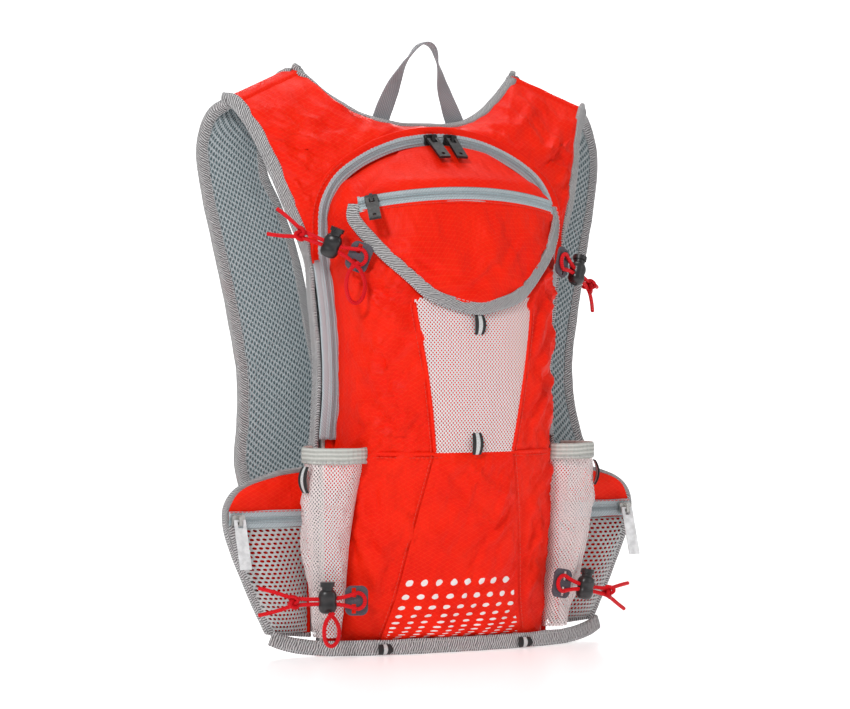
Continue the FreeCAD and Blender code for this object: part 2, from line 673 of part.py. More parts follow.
def sketch_rectangle(sketch, width, height, x="0", y="0"):
    """Rectangle whose size and centre are bound to sheet expressions."""
    first = sketch.GeometryCount
    corners = [Vector(-5, -5, 0), Vector(5, -5, 0), Vector(5, 5, 0), Vector(-5, 5, 0)]
    for i in range(4):
        sketch.addGeometry(Part.LineSegment(corners[i], corners[(i + 1) % 4]), False)
    for i in range(4):
        sketch.addConstraint(Sketcher.Constraint("Coincident", first + i, 2, first + (i + 1) % 4, 1))
    for i, kind in enumerate(("Horizontal", "Vertical", "Horizontal", "Vertical")):
        sketch.addConstraint(Sketcher.Constraint(kind, first + i))
    bound = (("DistanceX", (first, 1, first, 2), 10.0, width),
             ("DistanceY", (first + 1, 1, first + 1, 2), 10.0, height))
    for kind, spots, value, expression in bound:
        index = sketch.addConstraint(Sketcher.Constraint(kind, *spots, value))
        sketch.setExpression("Constraints[%d]" % index, expression)
    anchor = (("DistanceX", "(%s) + (%s) / 2" % (x, width)), ("DistanceY", "(%s) + (%s) / 2" % (y, height)))
    for kind, expression in anchor:
        index = sketch.addConstraint(Sketcher.Constraint(kind, -1, 1, first + 1, 2, 5.0))
        sketch.setExpression("Constraints[%d]" % index, expression)


def sketch_circle(sketch, radius, x="0", y="0"):
    index = sketch.addGeometry(Part.Circle(Vector(1, 1, 0), Vector(0, 0, 1), 2.0), False)
    spot = sketch.addConstraint(Sketcher.Constraint("Radius", index, 2.0))
    sketch.setExpression("Constraints[%d]" % spot, radius)
    for kind, expression in (("DistanceX", x), ("DistanceY", y)):
        spot = sketch.addConstraint(Sketcher.Constraint(kind, -1, 1, index, 3, 1.0))
        sketch.setExpression("Constraints[%d]" % spot, expression)


def pad(body, sketch, length, name, middle=False):
    item = body.newObject("PartDesign::Pad", name)
    item.Profile = sketch
    item.setExpression("Length", length)
    item.Midplane = middle
    doc.recompute()
    return item


def pocket(body, sketch, length, name, middle=False, reverse=False):
    """Cut that must remove material."""
    before = body.Shape.Volume
    item = body.newObject("PartDesign::Pocket", name)
    item.Profile = sketch
    item.setExpression("Length", length)
    item.Midplane = middle
    item.Reversed = reverse
    doc.recompute()
    if not body.Shape.Volume < before - 1e-6:
        raise RuntimeError("%s of %s removes nothing" % (name, body.Label))
    return item


def edges_along(body, axis, least):
    """Names of the straight edges of the body's tip along an axis."""
    names = []
    for index, edge in enumerate(body.Tip.Shape.Edges, start=1):
        if edge.Curve.TypeId != "Part::GeomLine" or edge.Length < least:
            continue
        run = edge.tangentAt(edge.FirstParameter)
        if abs(run.dot(axis)) > 0.999:
            names.append("Edge%d" % index)
    return names


def round_edges(body, axis, least, radius, name):
    base = body.Tip
    names = edges_along(body, axis, least)
    item = body.newObject("PartDesign::Fillet", name)
    item.Base = (base, names)
    item.Radius = radius
    doc.recompute()
    return item


# ------------------------------------------------------------------- hardware

def zip_slider(label):
    """Slider in its own axes: X along the zip, Z away from the tape."""
    body = new_body(label)
    plan = sketch_on(body, "XY_Plane", label + "_plan")
    sketch_rectangle(plan, "dims.slider_length", "dims.slider_width")
    pad(body, plan, "dims.slider_height", label + "_block")
    round_edges(body, Vector(0, 0, 1), 3.0, 1.6, label + "_corners")
    channel = sketch_on(body, "YZ_Plane", label + "_channel_profile")
    sketch_rectangle(channel, "dims.slider_channel_width", "2 * dims.slider_channel_height")
    pocket(body, channel, "2 * dims.slider_length", label + "_channel", middle=True)
    bridge = sketch_on(body, "YZ_Plane", label + "_bridge_profile")
    high = "dims.slider_height + dims.bridge_height / 2 - 0.25"
    sketch_rectangle(bridge, "dims.bridge_width", "dims.bridge_height + 0.5", "0", high)
    pad(body, bridge, "dims.bridge_thick", label + "_bridge", middle=True)
    window = sketch_on(body, "YZ_Plane", label + "_window_profile")
    sketch_rectangle(window, "dims.window_width", "dims.window_height", "0",
                     "dims.slider_height + 0.4 + dims.window_height / 2")
    pocket(body, window, "2 * dims.slider_length", label + "_window", middle=True)
    return body


def pull_tab(label, length, thick, hole=True):
    """Pull in its own axes: it turns about X and hangs along -Y."""
    body = new_body(label)
    plan = sketch_on(body, "XY_Plane", label + "_plan")
    middle = "dims.pull_bar / 2 - (%s) / 2" % length
    sketch_rectangle(plan, "dims.pull_width", length, "0", middle)
    pad(body, plan, thick, label + "_plate", middle=True)
    window = sketch_on(body, "XY_Plane", label + "_window_profile")
    sketch_rectangle(window, "dims.pull_window_width", "dims.pull_window_length", "0",
                     "-dims.pull_bar / 2 - dims.pull_window_length / 2")
    pocket(body, window, "4 * (%s)" % thick, label + "_window", middle=True)
    if hole:
        eye = sketch_on(body, "XY_Plane", label + "_eye_profile")
        sketch_circle(eye, "dims.pull_hole_radius", "0", "-(%s) + dims.pull_bar / 2 + 4" % length)
        pocket(body, eye, "4 * (%s)" % thick, label + "_hole", middle=True)
    return body


SLIDER_AXIS_Z = size("slider_height") + 0.4 + size("window_height") / 2
SLIDER_GAP = 0.25


def zip_hardware(name, centre, facing, pull_angle, length, thick, hole=True):
    """A slider on a zip and its pull, turned away from the zip by pull_angle."""
    slider = zip_slider(name + "_slider")
    placed(slider, centre.x, centre.y, centre.z, facing)
    pull = pull_tab(name + "_pull", length, thick, hole)
    pivot = centre + facing.multVec(Vector(0, 0, SLIDER_AXIS_Z))
    swing = facing.multiply(Rotation(Vector(1, 0, 0), -pull_angle))
    placed(pull, pivot.x, pivot.y, pivot.z, swing)
    spot = pivot + Vector(0, size("origin_shift_y"), 0)
    hinge = facing.multVec(Vector(-1, 0, 0))
    print("%s pull pivot %.3f %.3f %.3f axis %.5f %.5f %.5f" % (name, *spot, *hinge))


ARCH_SLIDER_ANGLE = 3.6
ARCH_SLIDER_GAP = 0.4
ARCH_PULL_ANGLE = 56.0
POCKET_SLIDER_X = -71.0
POCKET_PULL_ANGLE = 30.0
WING_SLIDER_X = 162.0
WING_PULL_ANGLE = 20.0


def all_zip_hardware():
    """Five sliders with their pulls."""
    middle = size("arch_radius") - size("tape_width") / 2
    for name, sign in sides():
        angle = sign * math.radians(ARCH_SLIDER_ANGLE)
        spot = Vector(middle * math.sin(angle), TAPE_FRONT_Y - ARCH_SLIDER_GAP,
                      size("arch_centre_z") + middle * math.cos(angle))
        turn = Rotation(Vector(0, 1, 0), sign * ARCH_SLIDER_ANGLE)
        facing = turn.multiply(Rotation(Vector(1, 0, 0), 90))
        zip_hardware(name + "_main", spot, facing, ARCH_PULL_ANGLE, "dims.pull_length", "dims.pull_thick")

    radius = size("pocket_zip_radius")
    lean = math.asin(POCKET_SLIDER_X / radius)
    reach = radius + SLIDER_GAP
    tilt = pocket_zip_tilt()
    middle = Vector(0, size("pocket_zip_y"), size("pocket_zip_z"))
    spot = middle + tilt.multVec(Vector(reach * math.sin(lean), radius - reach * math.cos(lean), 0))
    turn = tilt.multiply(Rotation(Vector(0, 0, 1), math.degrees(lean)))
    facing = turn.multiply(Rotation(Vector(1, 0, 0), 90))
    zip_hardware("front_pocket", spot, facing, POCKET_PULL_ANGLE, "dims.pull_length", "dims.pull_thick")
    centre = middle + tilt.multVec(Vector(0, radius, 0)) + Vector(0, size("origin_shift_y"), 0)
    axis = tilt.multVec(Vector(0, 0, 1))
    print("front_pocket slide centre %.4f %.4f %.4f axis %.5f %.5f %.5f" % (*centre, *axis))

    for name, sign in sides():
        spot = Vector(sign * WING_SLIDER_X, WING_TAPE_Y - size("tape_thick") - SLIDER_GAP, WING_ZIP_Z)
        facing = Rotation(Vector(1, 0, 0), 90)
        zip_hardware(name + "_wing", spot, facing, WING_PULL_ANGLE, "dims.ribbon_length",
                     "dims.ribbon_thick", False)


# Cord units: name, place of the tab, direction of the cord (X, Z), lean of the
# unit about Z. In a unit's own axes X runs along the cord, Y along the lock's
# barrel and Z away from the bag.
CORD_UNITS = (
    ("top_left", (-84.0, -55.5, 296.0), (-0.93, 0.37), -36.0),
    ("top_right", (84.0, -55.5, 293.0), (0.92, -0.39), 36.0),
    ("bottom_left", (-85.0, -53.0, 43.0), (-1.0, 0.0), -14.0),
    ("bottom_right", (85.0, -53.0, 49.0), (0.98, -0.2), 14.0),
)
LOCK_CENTRE = 22.0
CORD_LIFT = 2.5
KNOT_CENTRE = 47.0
# One strand in the unit's axes: x and half spread y, and z; the other is its mirror.
STRAND = ((0.0, 6.0, 2.5), (11.2, 1.7, 2.5), (33.0, 1.7, 2.5), (48.0, 2.6, 1.5), (61.0, 7.5, -1.0),
          (72.0, 10.0, -5.0))


def unit_rotation(cord, lean):
    """Axes of a cord unit: X along the cord, Z away from the bag."""
    along = Vector(cord[0], 0, cord[1])
    away = Vector(0, -1, 0)
    across = away.cross(along)
    flat = Rotation(along, across, away, "ZXY")
    return Rotation(Vector(0, 0, 1), lean).multiply(flat)


def cord_tube(points, radius, label):
    """Tube of straight runs joined by tangent arcs; the arc radii are printed."""
    edges = []
    start = points[0]
    radii = []
    for i in range(1, len(points) - 1):
        before = points[i - 1] - points[i]
        after = points[i + 1] - points[i]
        reach = 0.45 * min(before.Length, after.Length)
        turn = math.pi - before.getAngle(after)
        first = points[i] + before.normalize() * reach
        last = points[i] + after.normalize() * reach
        bend = reach / math.tan(turn / 2)
        radii.append(bend)
        bisector = (before + after).normalize()
        middle = points[i] + bisector * (math.hypot(bend, reach) - bend)
        edges.append(Part.LineSegment(start, first).toShape())
        edges.append(Part.Arc(first, middle, last).toShape())
        start = last
    edges.append(Part.LineSegment(start, points[-1]).toShape())
    wire = Part.Wire(edges)
    run = (points[1] - points[0]).normalize()
    ring = Part.Wire(Part.makeCircle(radius, points[0], run))
    tube = wire.makePipeShell([ring], True, False)
    expected = math.pi * radius ** 2 * wire.Length
    print("%s length %.1f radii %s volume ratio %.4f" % (
        label, wire.Length, [round(r, 1) for r in radii], tube.Volume / expected))
    return tube


def cord_unit(name, spot, cord, lean):
    """Tab, elastic cord, lock barrel, button and knot of one unit."""
    rotation = unit_rotation(cord, lean)
    radius = size("cord_radius")
    strands = []
    for side in (1, -1):
        route = [Vector(x, side * y, z) for x, y, z in STRAND]
        strands.append(cord_tube(route, radius, name + "_strand"))
    spread = STRAND[0][1]
    circle = Part.Wire(Part.makeCircle(radius, Vector(0, spread, CORD_LIFT), Vector(1, 0, 0)))
    bight = circle.revolve(Vector(0, 0, CORD_LIFT), Vector(0, 0, 1), 180)
    opposite = circle.copy().mirror(Vector(0, 0, 0), Vector(0, 1, 0))
    bight = Part.Solid(Part.Shell(bight.Faces + [Part.Face(circle), Part.Face(opposite)]))
    cords = doc.addObject("Part::Feature", name + "_bungee")
    cords.Label = name + "_bungee"
    cords.Shape = Part.makeCompound(strands + [bight])
    placed(cords, *spot, rotation)

    knot = doc.addObject("Part::Ellipsoid", name + "_knot_ball")
    knot.setExpression("Radius1", "dims.knot_radius * 0.95")
    knot.setExpression("Radius2", "dims.knot_radius * 1.15")
    knot.setExpression("Radius3", "dims.knot_radius * 0.95")
    knot.Placement = Placement(Vector(KNOT_CENTRE, 0, 1.6), Rotation())
    holes = doc.addObject("Part::Feature", name + "_knot_cords")
    holes.Shape = Part.makeCompound(strands)
    bored = doc.addObject("Part::Cut", name + "_knot")
    bored.Label = name + "_knot"
    bored.Base = knot
    bored.Tool = holes
    placed(bored, *spot, rotation)

    tab = new_body(name + "_tab")
    plan = sketch_on(tab, "XY_Plane", name + "_tab_plan")
    sketch_rectangle(plan, "dims.tab_length", "dims.tab_width")
    pad(tab, plan, "dims.tab_thick", name + "_tab_plate", middle=True)
    round_edges(tab, Vector(0, 0, 1), 1.0, 5.0, name + "_tab_corners")
    slots = sketch_on(tab, "XY_Plane", name + "_tab_slots")
    for sign in ("", "-"):
        sketch_rectangle(slots, "dims.tab_slot_width", "dims.tab_slot_length", "2", sign + "6")
    pocket(tab, slots, "4 * dims.tab_thick", name + "_tab_cut", middle=True)
    placed(tab, *spot, rotation)

    barrel = new_body(name + "_lock")
    plan = sketch_on(barrel, "XZ_Plane", name + "_lock_plan")
    sketch_rectangle(plan, "dims.lock_length", "dims.lock_depth")
    pad(barrel, plan, "dims.lock_height", name + "_lock_block", middle=True)
    round_edges(barrel, Vector(0, 1, 0), 5.0, 4.6, name + "_lock_round")
    bore = sketch_on(barrel, "XZ_Plane", name + "_lock_bore", -size("lock_height"))
    sketch_circle(bore, "dims.lock_bore")
    pocket(barrel, bore, "1.5 * dims.lock_height - dims.lock_floor", name + "_lock_hole", reverse=True)
    across = sketch_on(barrel, "YZ_Plane", name + "_lock_slot")
    sketch_rectangle(across, "dims.lock_slot_height", "dims.lock_slot_width")
    pocket(barrel, across, "2 * dims.lock_length", name + "_lock_passage", middle=True)
    lock_place = Vector(*spot) + rotation.multVec(Vector(LOCK_CENTRE, 0, CORD_LIFT))
    upright = 0 if rotation.multVec(Vector(0, 1, 0)).z > 0 else 180
    lock_turn = rotation.multiply(Rotation(Vector(1, 0, 0), upright))
    placed(barrel, lock_place.x, lock_place.y, lock_place.z, lock_turn)

    button = new_body(name + "_button")
    stem = sketch_on(button, "XZ_Plane", name + "_stem_plan", 4.0)
    sketch_circle(stem, "dims.stem_radius")
    item = pad(button, stem, "dims.stem_length + 1", name + "_stem")
    item.Reversed = True
    cap_start = size("stem_length") - 4.0
    cap = sketch_on(button, "XZ_Plane", name + "_cap_plan", -cap_start)
    sketch_circle(cap, "dims.cap_radius")
    item = pad(button, cap, "dims.cap_height", name + "_cap")
    item.Reversed = True
    doc.recompute()
    slot = sketch_on(button, "YZ_Plane", name + "_stem_slot")
    sketch_rectangle(slot, "dims.stem_slot_height", "dims.lock_slot_width", "1.25", "0")
    pocket(button, slot, "4 * dims.stem_radius", name + "_stem_passage", middle=True)
    placed(button, lock_place.x, lock_place.y, lock_place.z, lock_turn)
    place = lock_place + Vector(0, size("origin_shift_y"), 0)
    along = rotation.multVec(Vector(1, 0, 0))
    press = lock_turn.multVec(Vector(0, -1, 0))
    print("%s lock at %.2f %.2f %.2f along %.5f %.5f %.5f press %.5f %.5f %.5f" % (
        name, *place, *along, *press))
    for x, y, z in STRAND:
        point = Vector(*spot) + rotation.multVec(Vector(x, y, z)) + Vector(0, size("origin_shift_y"), 0)
        print("   strand %.2f %.2f %.2f" % (point.x, point.y, point.z))


# Tape loops on the middle panel: x and z of the middle, width and height.
CENTRE_LOOPS = ((0.0, 246.0, 9.0, 14.0), (0.0, 158.0, 9.0, 16.0))
SIDE_LOOP_SHARE = 0.62     # place on the pocket's rim, from its front seam to its back
SIDE_LOOP_GAP = 3.2        # clear of the mesh, which bulges most below its rim
SIDE_LOOP_Z = 121.5


def tape_loops():
    """Reflective loops on the middle panel, at the bottom and on the pockets."""
    loops = []
    for x, z, width, tall in CENTRE_LOOPS:
        front = bag_y(x, z, size("panel_skin")) - 1.6
        loops.append(Part.makeBox(width, 1.6, tall, Vector(x - width / 2, front - 1.6, z - tall / 2)))
    for sign in (-1, 1):
        x = sign * 58.0
        loops.append(Part.makeBox(12.0, 1.6, 7.0, Vector(x - 6.0, -44.6, 1.0)))
    z, seam_x, bulge_x, bulge_y = POCKET_LEVELS[-1]
    seam = Vector(seam_x, bag_y(seam_x, z) - 0.6, 0)
    rim = Part.Arc(seam, Vector(bulge_x, bulge_y, 0), Vector(*POCKET_BACK, 0)).toShape()
    spot = rim.valueAt(rim.FirstParameter + SIDE_LOOP_SHARE * (rim.LastParameter - rim.FirstParameter))
    angle = math.degrees(math.atan2(spot.y - rim.Curve.Center.y, spot.x - rim.Curve.Center.x))
    side = Part.makeBox(2.4, 10.0, 20.0, Vector(SIDE_LOOP_GAP, -5.0, 0))
    side.Placement = Placement(Vector(spot.x, spot.y, SIDE_LOOP_Z), Rotation(Vector(0, 0, 1), angle))
    loops += [side, mirrored(side)]
    feature("tape_loops", Part.makeCompound(loops))


def sternum_strap():
    """Webbing between the straps with a side-release buckle in the middle."""
    middle = Vector(0, 47.5, size("sternum_z"))
    width = size("webbing_width")
    thick = size("webbing_thick")
    inner = size("buckle_width") / 2 + 0.3
    strips = []
    for sign in (-1, 1):
        low_x = inner if sign > 0 else -104.0
        corner = Vector(low_x, middle.y - thick / 2, middle.z - width / 2)
        strips.append(Part.makeBox(104.0 - inner, thick, width, corner))
    feature("sternum_webbing", Part.makeCompound(strips))

    adjusters = []
    for sign in (-1, 1):
        for face in (-1, 1):
            y = middle.y + face * (thick / 2 + 1.1) - 0.9
            adjusters.append(Part.makeBox(7.0, 1.8, 25.0, Vector(sign * 66.0 - 3.5, y, middle.z - 12.5)))
    feature("sternum_adjusters", Part.makeCompound(adjusters))

    housing = new_body("buckle_housing")
    plan = sketch_on(housing, "XZ_Plane", "housing_plan")
    sketch_rectangle(plan, "dims.buckle_width", "dims.buckle_height")
    pad(housing, plan, "dims.buckle_depth", "housing_block", middle=True)
    round_edges(housing, Vector(0, 1, 0), 5.0, 4.0, "housing_corners")
    window = sketch_on(housing, "XY_Plane", "housing_window")
    sketch_rectangle(window, "15", "dims.buckle_depth - 3")
    pocket(housing, window, "2 * dims.buckle_height", "housing_windows", middle=True)
    placed(housing, middle.x, middle.y, middle.z)
    for name, sign in (("upper", 1), ("lower", -1)):
        arm = new_body(name + "_buckle_arm")
        plan = sketch_on(arm, "XZ_Plane", name + "_arm_plan")
        sketch_rectangle(plan, "14", "8")
        pad(arm, plan, "dims.buckle_depth - 3.6", name + "_arm_block", middle=True)
        round_edges(arm, Vector(0, 1, 0), 3.0, 1.5, name + "_arm_corners")
        placed(arm, middle.x, middle.y, middle.z + sign * 10.5)


def reservoir_fittings():
    """Screw cap on the reservoir's face and its outlet port."""
    cap = new_body("reservoir_cap")
    plan = sketch_on(cap, "XZ_Plane", "cap_plan")
    sketch_circle(plan, "dims.cap_outer_radius")
    pad(cap, plan, "dims.cap_outer_height", "cap_disc")
    disc = cap.Tip
    rims = ["Edge%d" % i for i, e in enumerate(disc.Shape.Edges, 1) if e.Curve.TypeId == "Part::GeomCircle"]
    edge = cap.newObject("PartDesign::Chamfer", "cap_chamfer")
    edge.Base = (disc, rims)
    edge.Size = 1.2
    placed(cap, 0.0, BAG_Y - 23.2, 290.0)
    port = new_body("reservoir_port")
    plan = sketch_on(port, "XY_Plane", "port_plan")
    sketch_circle(plan, "dims.port_radius")
    pad(port, plan, "dims.port_length", "port_tube")
    bore = sketch_on(port, "XY_Plane", "port_bore")
    sketch_circle(bore, "dims.port_bore")
    pocket(port, bore, "dims.port_length * 3", "port_hole", middle=True)
    placed(port, 0.0, BAG_Y - 8.5, 39.7 - size("port_length"))


back_panel_and_rear()
main_zip()
main_bag()
pocket_zip()
yoke_and_bindings()
straps()
side_pockets()
wings()
wing_zips()
base()
haul_loop()
hydration_set()
reservoir_fittings()
tape_loops()
sternum_strap()
all_zip_hardware()
for unit in CORD_UNITS:
    cord_unit(*unit)
doc.recompute()

GROUPS = {"cord_tabs": "_tab", "bungee_knots": "_knot", "wing_zips": "_wing_zip"}
grouped = []
for label, ending in GROUPS.items():
    members = [item for item in SUBPARTS if item.Label.endswith(ending)]
    group = doc.addObject("Part::Compound", label)
    group.Label = label
    group.Links = members
    grouped += members
    SUBPARTS.append(group)
SUBPARTS = [item for item in SUBPARTS if item not in grouped]
doc.recompute()

problems = [item.Label for item in doc.Objects if {"Invalid", "Error"} & set(item.State)]
problems += [item.Label for item in SUBPARTS if item.Shape.isNull() or not item.Shape.isValid()]
if problems:
    raise RuntimeError("failed objects: " + ", ".join(problems))

os.makedirs("parts", exist_ok=True)
box = FreeCAD.BoundBox()
for item in SUBPARTS:
    item.Shape.exportStep("parts/%s.step" % item.Label)
    box.add(item.Shape.optimalBoundingBox(False))
    print("%-24s solids %d volume %.0f" % (item.Label, len(item.Shape.Solids), item.Shape.Volume))
limits = (box.XMin, box.XMax, box.YMin, box.YMax, box.ZMin, box.ZMax)
print("nodes", len(SUBPARTS), "box", [round(value, 2) for value in limits])
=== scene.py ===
import math
import bpy
from mathutils import Matrix, Vector, noise


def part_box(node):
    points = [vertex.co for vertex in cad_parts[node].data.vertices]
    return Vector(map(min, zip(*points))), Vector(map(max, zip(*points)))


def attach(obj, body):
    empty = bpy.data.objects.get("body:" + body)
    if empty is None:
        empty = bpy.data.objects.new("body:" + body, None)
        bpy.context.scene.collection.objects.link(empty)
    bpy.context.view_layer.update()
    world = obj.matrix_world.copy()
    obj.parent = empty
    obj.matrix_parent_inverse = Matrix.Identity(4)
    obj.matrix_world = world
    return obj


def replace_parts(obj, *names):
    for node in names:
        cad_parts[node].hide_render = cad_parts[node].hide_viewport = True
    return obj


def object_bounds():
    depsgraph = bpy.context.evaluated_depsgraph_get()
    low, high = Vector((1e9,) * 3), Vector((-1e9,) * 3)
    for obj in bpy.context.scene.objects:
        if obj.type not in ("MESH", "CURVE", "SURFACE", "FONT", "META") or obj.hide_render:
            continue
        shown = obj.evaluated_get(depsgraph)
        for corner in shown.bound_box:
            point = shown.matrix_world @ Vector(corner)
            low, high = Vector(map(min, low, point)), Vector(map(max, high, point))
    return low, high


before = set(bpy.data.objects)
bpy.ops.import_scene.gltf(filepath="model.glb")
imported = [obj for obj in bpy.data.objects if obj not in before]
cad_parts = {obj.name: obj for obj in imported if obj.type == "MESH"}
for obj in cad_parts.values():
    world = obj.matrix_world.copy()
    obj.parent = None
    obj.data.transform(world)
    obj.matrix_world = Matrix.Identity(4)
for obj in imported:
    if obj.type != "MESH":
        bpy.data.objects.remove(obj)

# Hydration pack, in metres, in the frame's own axes: +Z up, -Y away from the wearer.
CAD_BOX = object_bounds()
scene = bpy.context.scene

# ------------------------------------------------------------- driving sizes
WEAVE = "weave"                # name of the UV map whose unit is one metre of cloth
SHIFT_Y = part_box("back_panel")[1][1]      # the design's back face, in the frame
BAG_Y = SHIFT_Y - 0.0138       # plane of the bag's rim
TAPE_FRONT_Y = SHIFT_Y - 0.0136
BAG_TOP = 0.382
BAG_LOW = 0.006
BELLY_Z = 0.215
ARCH_Z = 0.258
ARCH_R = 0.132
CORNER_R = 0.052
CORNER_X = 0.047
TAPE_WIDTH = 0.008
POCKET_ZIP_R = 0.167
POCKET_ZIP_Z = 0.3435
WING_Y = SHIFT_Y - 0.0064
WING_ZIP_Z = 0.1015
CORD_D = 0.003


# ------------------------------------------------------------------ the form

def smooth_step(low, high, value):
    part = min(max((value - low) / (high - low), 0.0), 1.0)
    return part * part * (3 - 2 * part)


def side_half(z):
    """Half width of the bag's outline below the arch."""
    if z >= 0.200:
        return 0.090 + 0.009 * min((z - 0.200) / 0.100, 1.0) ** 2
    return 0.090 + 0.003 * smooth_step(0.0, 0.050, 0.200 - z)


def corner_z():
    reach = ARCH_R - CORNER_R
    return ARCH_Z + math.sqrt(reach ** 2 - CORNER_X ** 2)


def half_width(z, margin=0.0):
    """Half width of the bag's outline at a height, moved outwards."""
    centre = corner_z()
    if z <= centre:
        return side_half(z) + margin
    corner = CORNER_R + margin
    rise = (centre - ARCH_Z) / (ARCH_R - CORNER_R)
    if z <= centre + corner * rise:
        return CORNER_X + math.sqrt(corner ** 2 - (z - centre) ** 2)
    return math.sqrt(max((ARCH_R + margin) ** 2 - (z - ARCH_Z) ** 2, 0.0))


def bag_depth(z):
    if z >= BELLY_Z:
        rise = min((z - BELLY_Z) / (BAG_TOP - BELLY_Z), 1.0)
        return 0.070 * (1 - rise ** 2) ** 0.6
    fall = (BELLY_Z - z) / BELLY_Z
    return 0.070 - 0.048 * fall ** 1.6


def bag_y(x, z, lift=0.0):
    """Front of the bag at a place, lifted outwards."""
    inside = 1 - (abs(x) / half_width(z, lift - TAPE_WIDTH)) ** 2.5
    return BAG_Y - (bag_depth(z) + lift) * max(inside, 0.0) ** 0.4


def on_bag(x, z, lift=0.0):
    return Vector((x, bag_y(x, z, lift), z))


def bag_normal(x, z):
    """Outward direction of the bag's front."""
    step = 0.002
    right = on_bag(x + step, z) - on_bag(x - step, z)
    up = on_bag(x, z + step) - on_bag(x, z - step)
    return right.cross(up).normalized()


def spline(points, spacing):
    """Evenly spaced points on a smooth curve through the given ones."""
    points = [Vector(p) for p in points]
    ends = [points[0] * 2 - points[1]] + points + [points[-1] * 2 - points[-2]]
    fine = []
    for a, b, c, d in zip(ends, ends[1:], ends[2:], ends[3:]):
        for step in range(16):
            t = step / 16
            fine.append(0.5 * (2 * b + (c - a) * t + (2 * a - 5 * b + 4 * c - d) * t ** 2
                               + (3 * b - a - 3 * c + d) * t ** 3))
    fine.append(points[-1])
    return even(fine, spacing=spacing)


def even(points, count=None, spacing=None):
    """The same line with evenly spaced points."""
    lengths = [0.0]
    for a, b in zip(points, points[1:]):
        lengths.append(lengths[-1] + (b - a).length)
    count = count or max(int(round(lengths[-1] / spacing)), 2) + 1
    result = []
    place = 0
    for i in range(count):
        target = lengths[-1] * i / (count - 1)
        while place < len(points) - 2 and lengths[place + 1] < target:
            place += 1
        span = lengths[place + 1] - lengths[place]
        part = (target - lengths[place]) / span if span else 0.0
        result.append(points[place].lerp(points[place + 1], min(max(part, 0.0), 1.0)))
    return result


# --------------------------------------------------------------- mesh pieces

def mesh_piece(name, vertices, faces, uvs, material, body="root", slot=None, smooth=True):
    """Object from vertices, faces and one UV per face corner; it rides on a body."""
    mesh = bpy.data.meshes.new(name)
    mesh.from_pydata([tuple(v) for v in vertices], [], faces)
    layer = mesh.uv_layers.new(name=WEAVE)
    for loop, uv in zip(layer.data, uvs):
        loop.uv = uv
    mesh.materials.append(material)
    if smooth:
        mesh.polygons.foreach_set("use_smooth", [True] * len(mesh.polygons))
    piece = bpy.data.objects.new(name, mesh)
    scene.collection.objects.link(piece)
    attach(piece, body)
    return piece


def grid(name, rows, material, wrap=False, flip=False, capped=False, **extra):
    """Sheet through rows of points; u runs along a row and v from row to row."""
    wide = len(rows[0])
    columns = wide if wrap else wide - 1
    u = []
    for row in rows:
        line = [0.0]
        for c in range(columns):
            line.append(line[-1] + (row[(c + 1) % wide] - row[c]).length)
        middle = line[-1] / 2
        u.append([value - middle for value in line])
    v = [[0.0] * (columns + 1)]
    for above, below in zip(rows, rows[1:]):
        v.append([v[-1][c] + (below[c % wide] - above[c % wide]).length for c in range(columns + 1)])
    faces = []
    uvs = []
    for r in range(len(rows) - 1):
        for c in range(columns):
            ring = [(r, c), (r, c + 1), (r + 1, c + 1), (r + 1, c)]
            if flip:
                ring.reverse()
            faces.append([i * wide + j % wide for i, j in ring])
            uvs += [(u[i][j], v[i][j]) for i, j in ring]
    if capped:
        last = (len(rows) - 1) * wide
        caps = [list(range(wide))[::-1], [last + c for c in range(wide)]]
        for cap in caps:
            faces.append(cap[::-1] if flip else cap)
            uvs += [(0.0, 0.0)] * wide
    vertices = [p for row in rows for p in row]
    return mesh_piece(name, vertices, faces, uvs, material, **extra)


def planar(piece):
    """Lay the cloth pattern straight across a piece that faces forwards or backwards."""
    mesh = piece.data
    layer = mesh.uv_layers[WEAVE]
    for loop in mesh.loops:
        place = mesh.vertices[loop.vertex_index].co
        layer.data[loop.index].uv = (place.x, place.z)


def oval(width, thick, count=18, power=3.2, lift=0.0):
    """Closed section of a flat tape: across and outwards."""
    section = []
    for i in range(count):
        angle = 2 * math.pi * i / count
        across = math.copysign(abs(math.cos(angle)) ** (2 / power), math.cos(angle))
        out = math.copysign(abs(math.sin(angle)) ** (2 / power), math.sin(angle))
        section.append((width / 2 * across, lift + thick / 2 * out))
    return section


def frames_on(points, normals):
    """Place, across and outward direction at each point of a line."""
    result = []
    for i, point in enumerate(points):
        run = (points[min(i + 1, len(points) - 1)] - points[max(i - 1, 0)]).normalized()
        normal = normals[i] if isinstance(normals, list) else normals
        across = run.cross(normal).normalized()
        result.append((point, across, across.cross(run).normalized()))
    return result


def sweep(name, frames, section, material, ripple=0.0, seed=0.0, taper=None, **extra):
    """Closed section carried along frames; ripple makes it pucker as sewn tape does."""
    rows = []
    travelled = 0.0
    for i, (point, across, out) in enumerate(frames):
        if i:
            travelled += (point - frames[i - 1][0]).length
        wave = ripple * noise.noise(Vector((travelled * 90, seed, 0.3)))
        swell = 1 + 0.08 * bool(ripple) * noise.noise(Vector((travelled * 60, seed, 7.7)))
        scale = taper(i / (len(frames) - 1)) if taper else 1.0
        rows.append([point + across * (w * swell * scale) + out * (n * scale + wave) for w, n in section])
    return grid(name, rows, material, wrap=True, capped=True, **extra)


def tube_frames(points):
    """Frames that turn as little as they can along a line."""
    result = []
    side = None
    for i, point in enumerate(points):
        run = (points[min(i + 1, len(points) - 1)] - points[max(i - 1, 0)]).normalized()
        if side is None:
            side = run.orthogonal().normalized()
        side = (side - run * side.dot(run)).normalized()
        result.append((point, side, run.cross(side)))
    return result


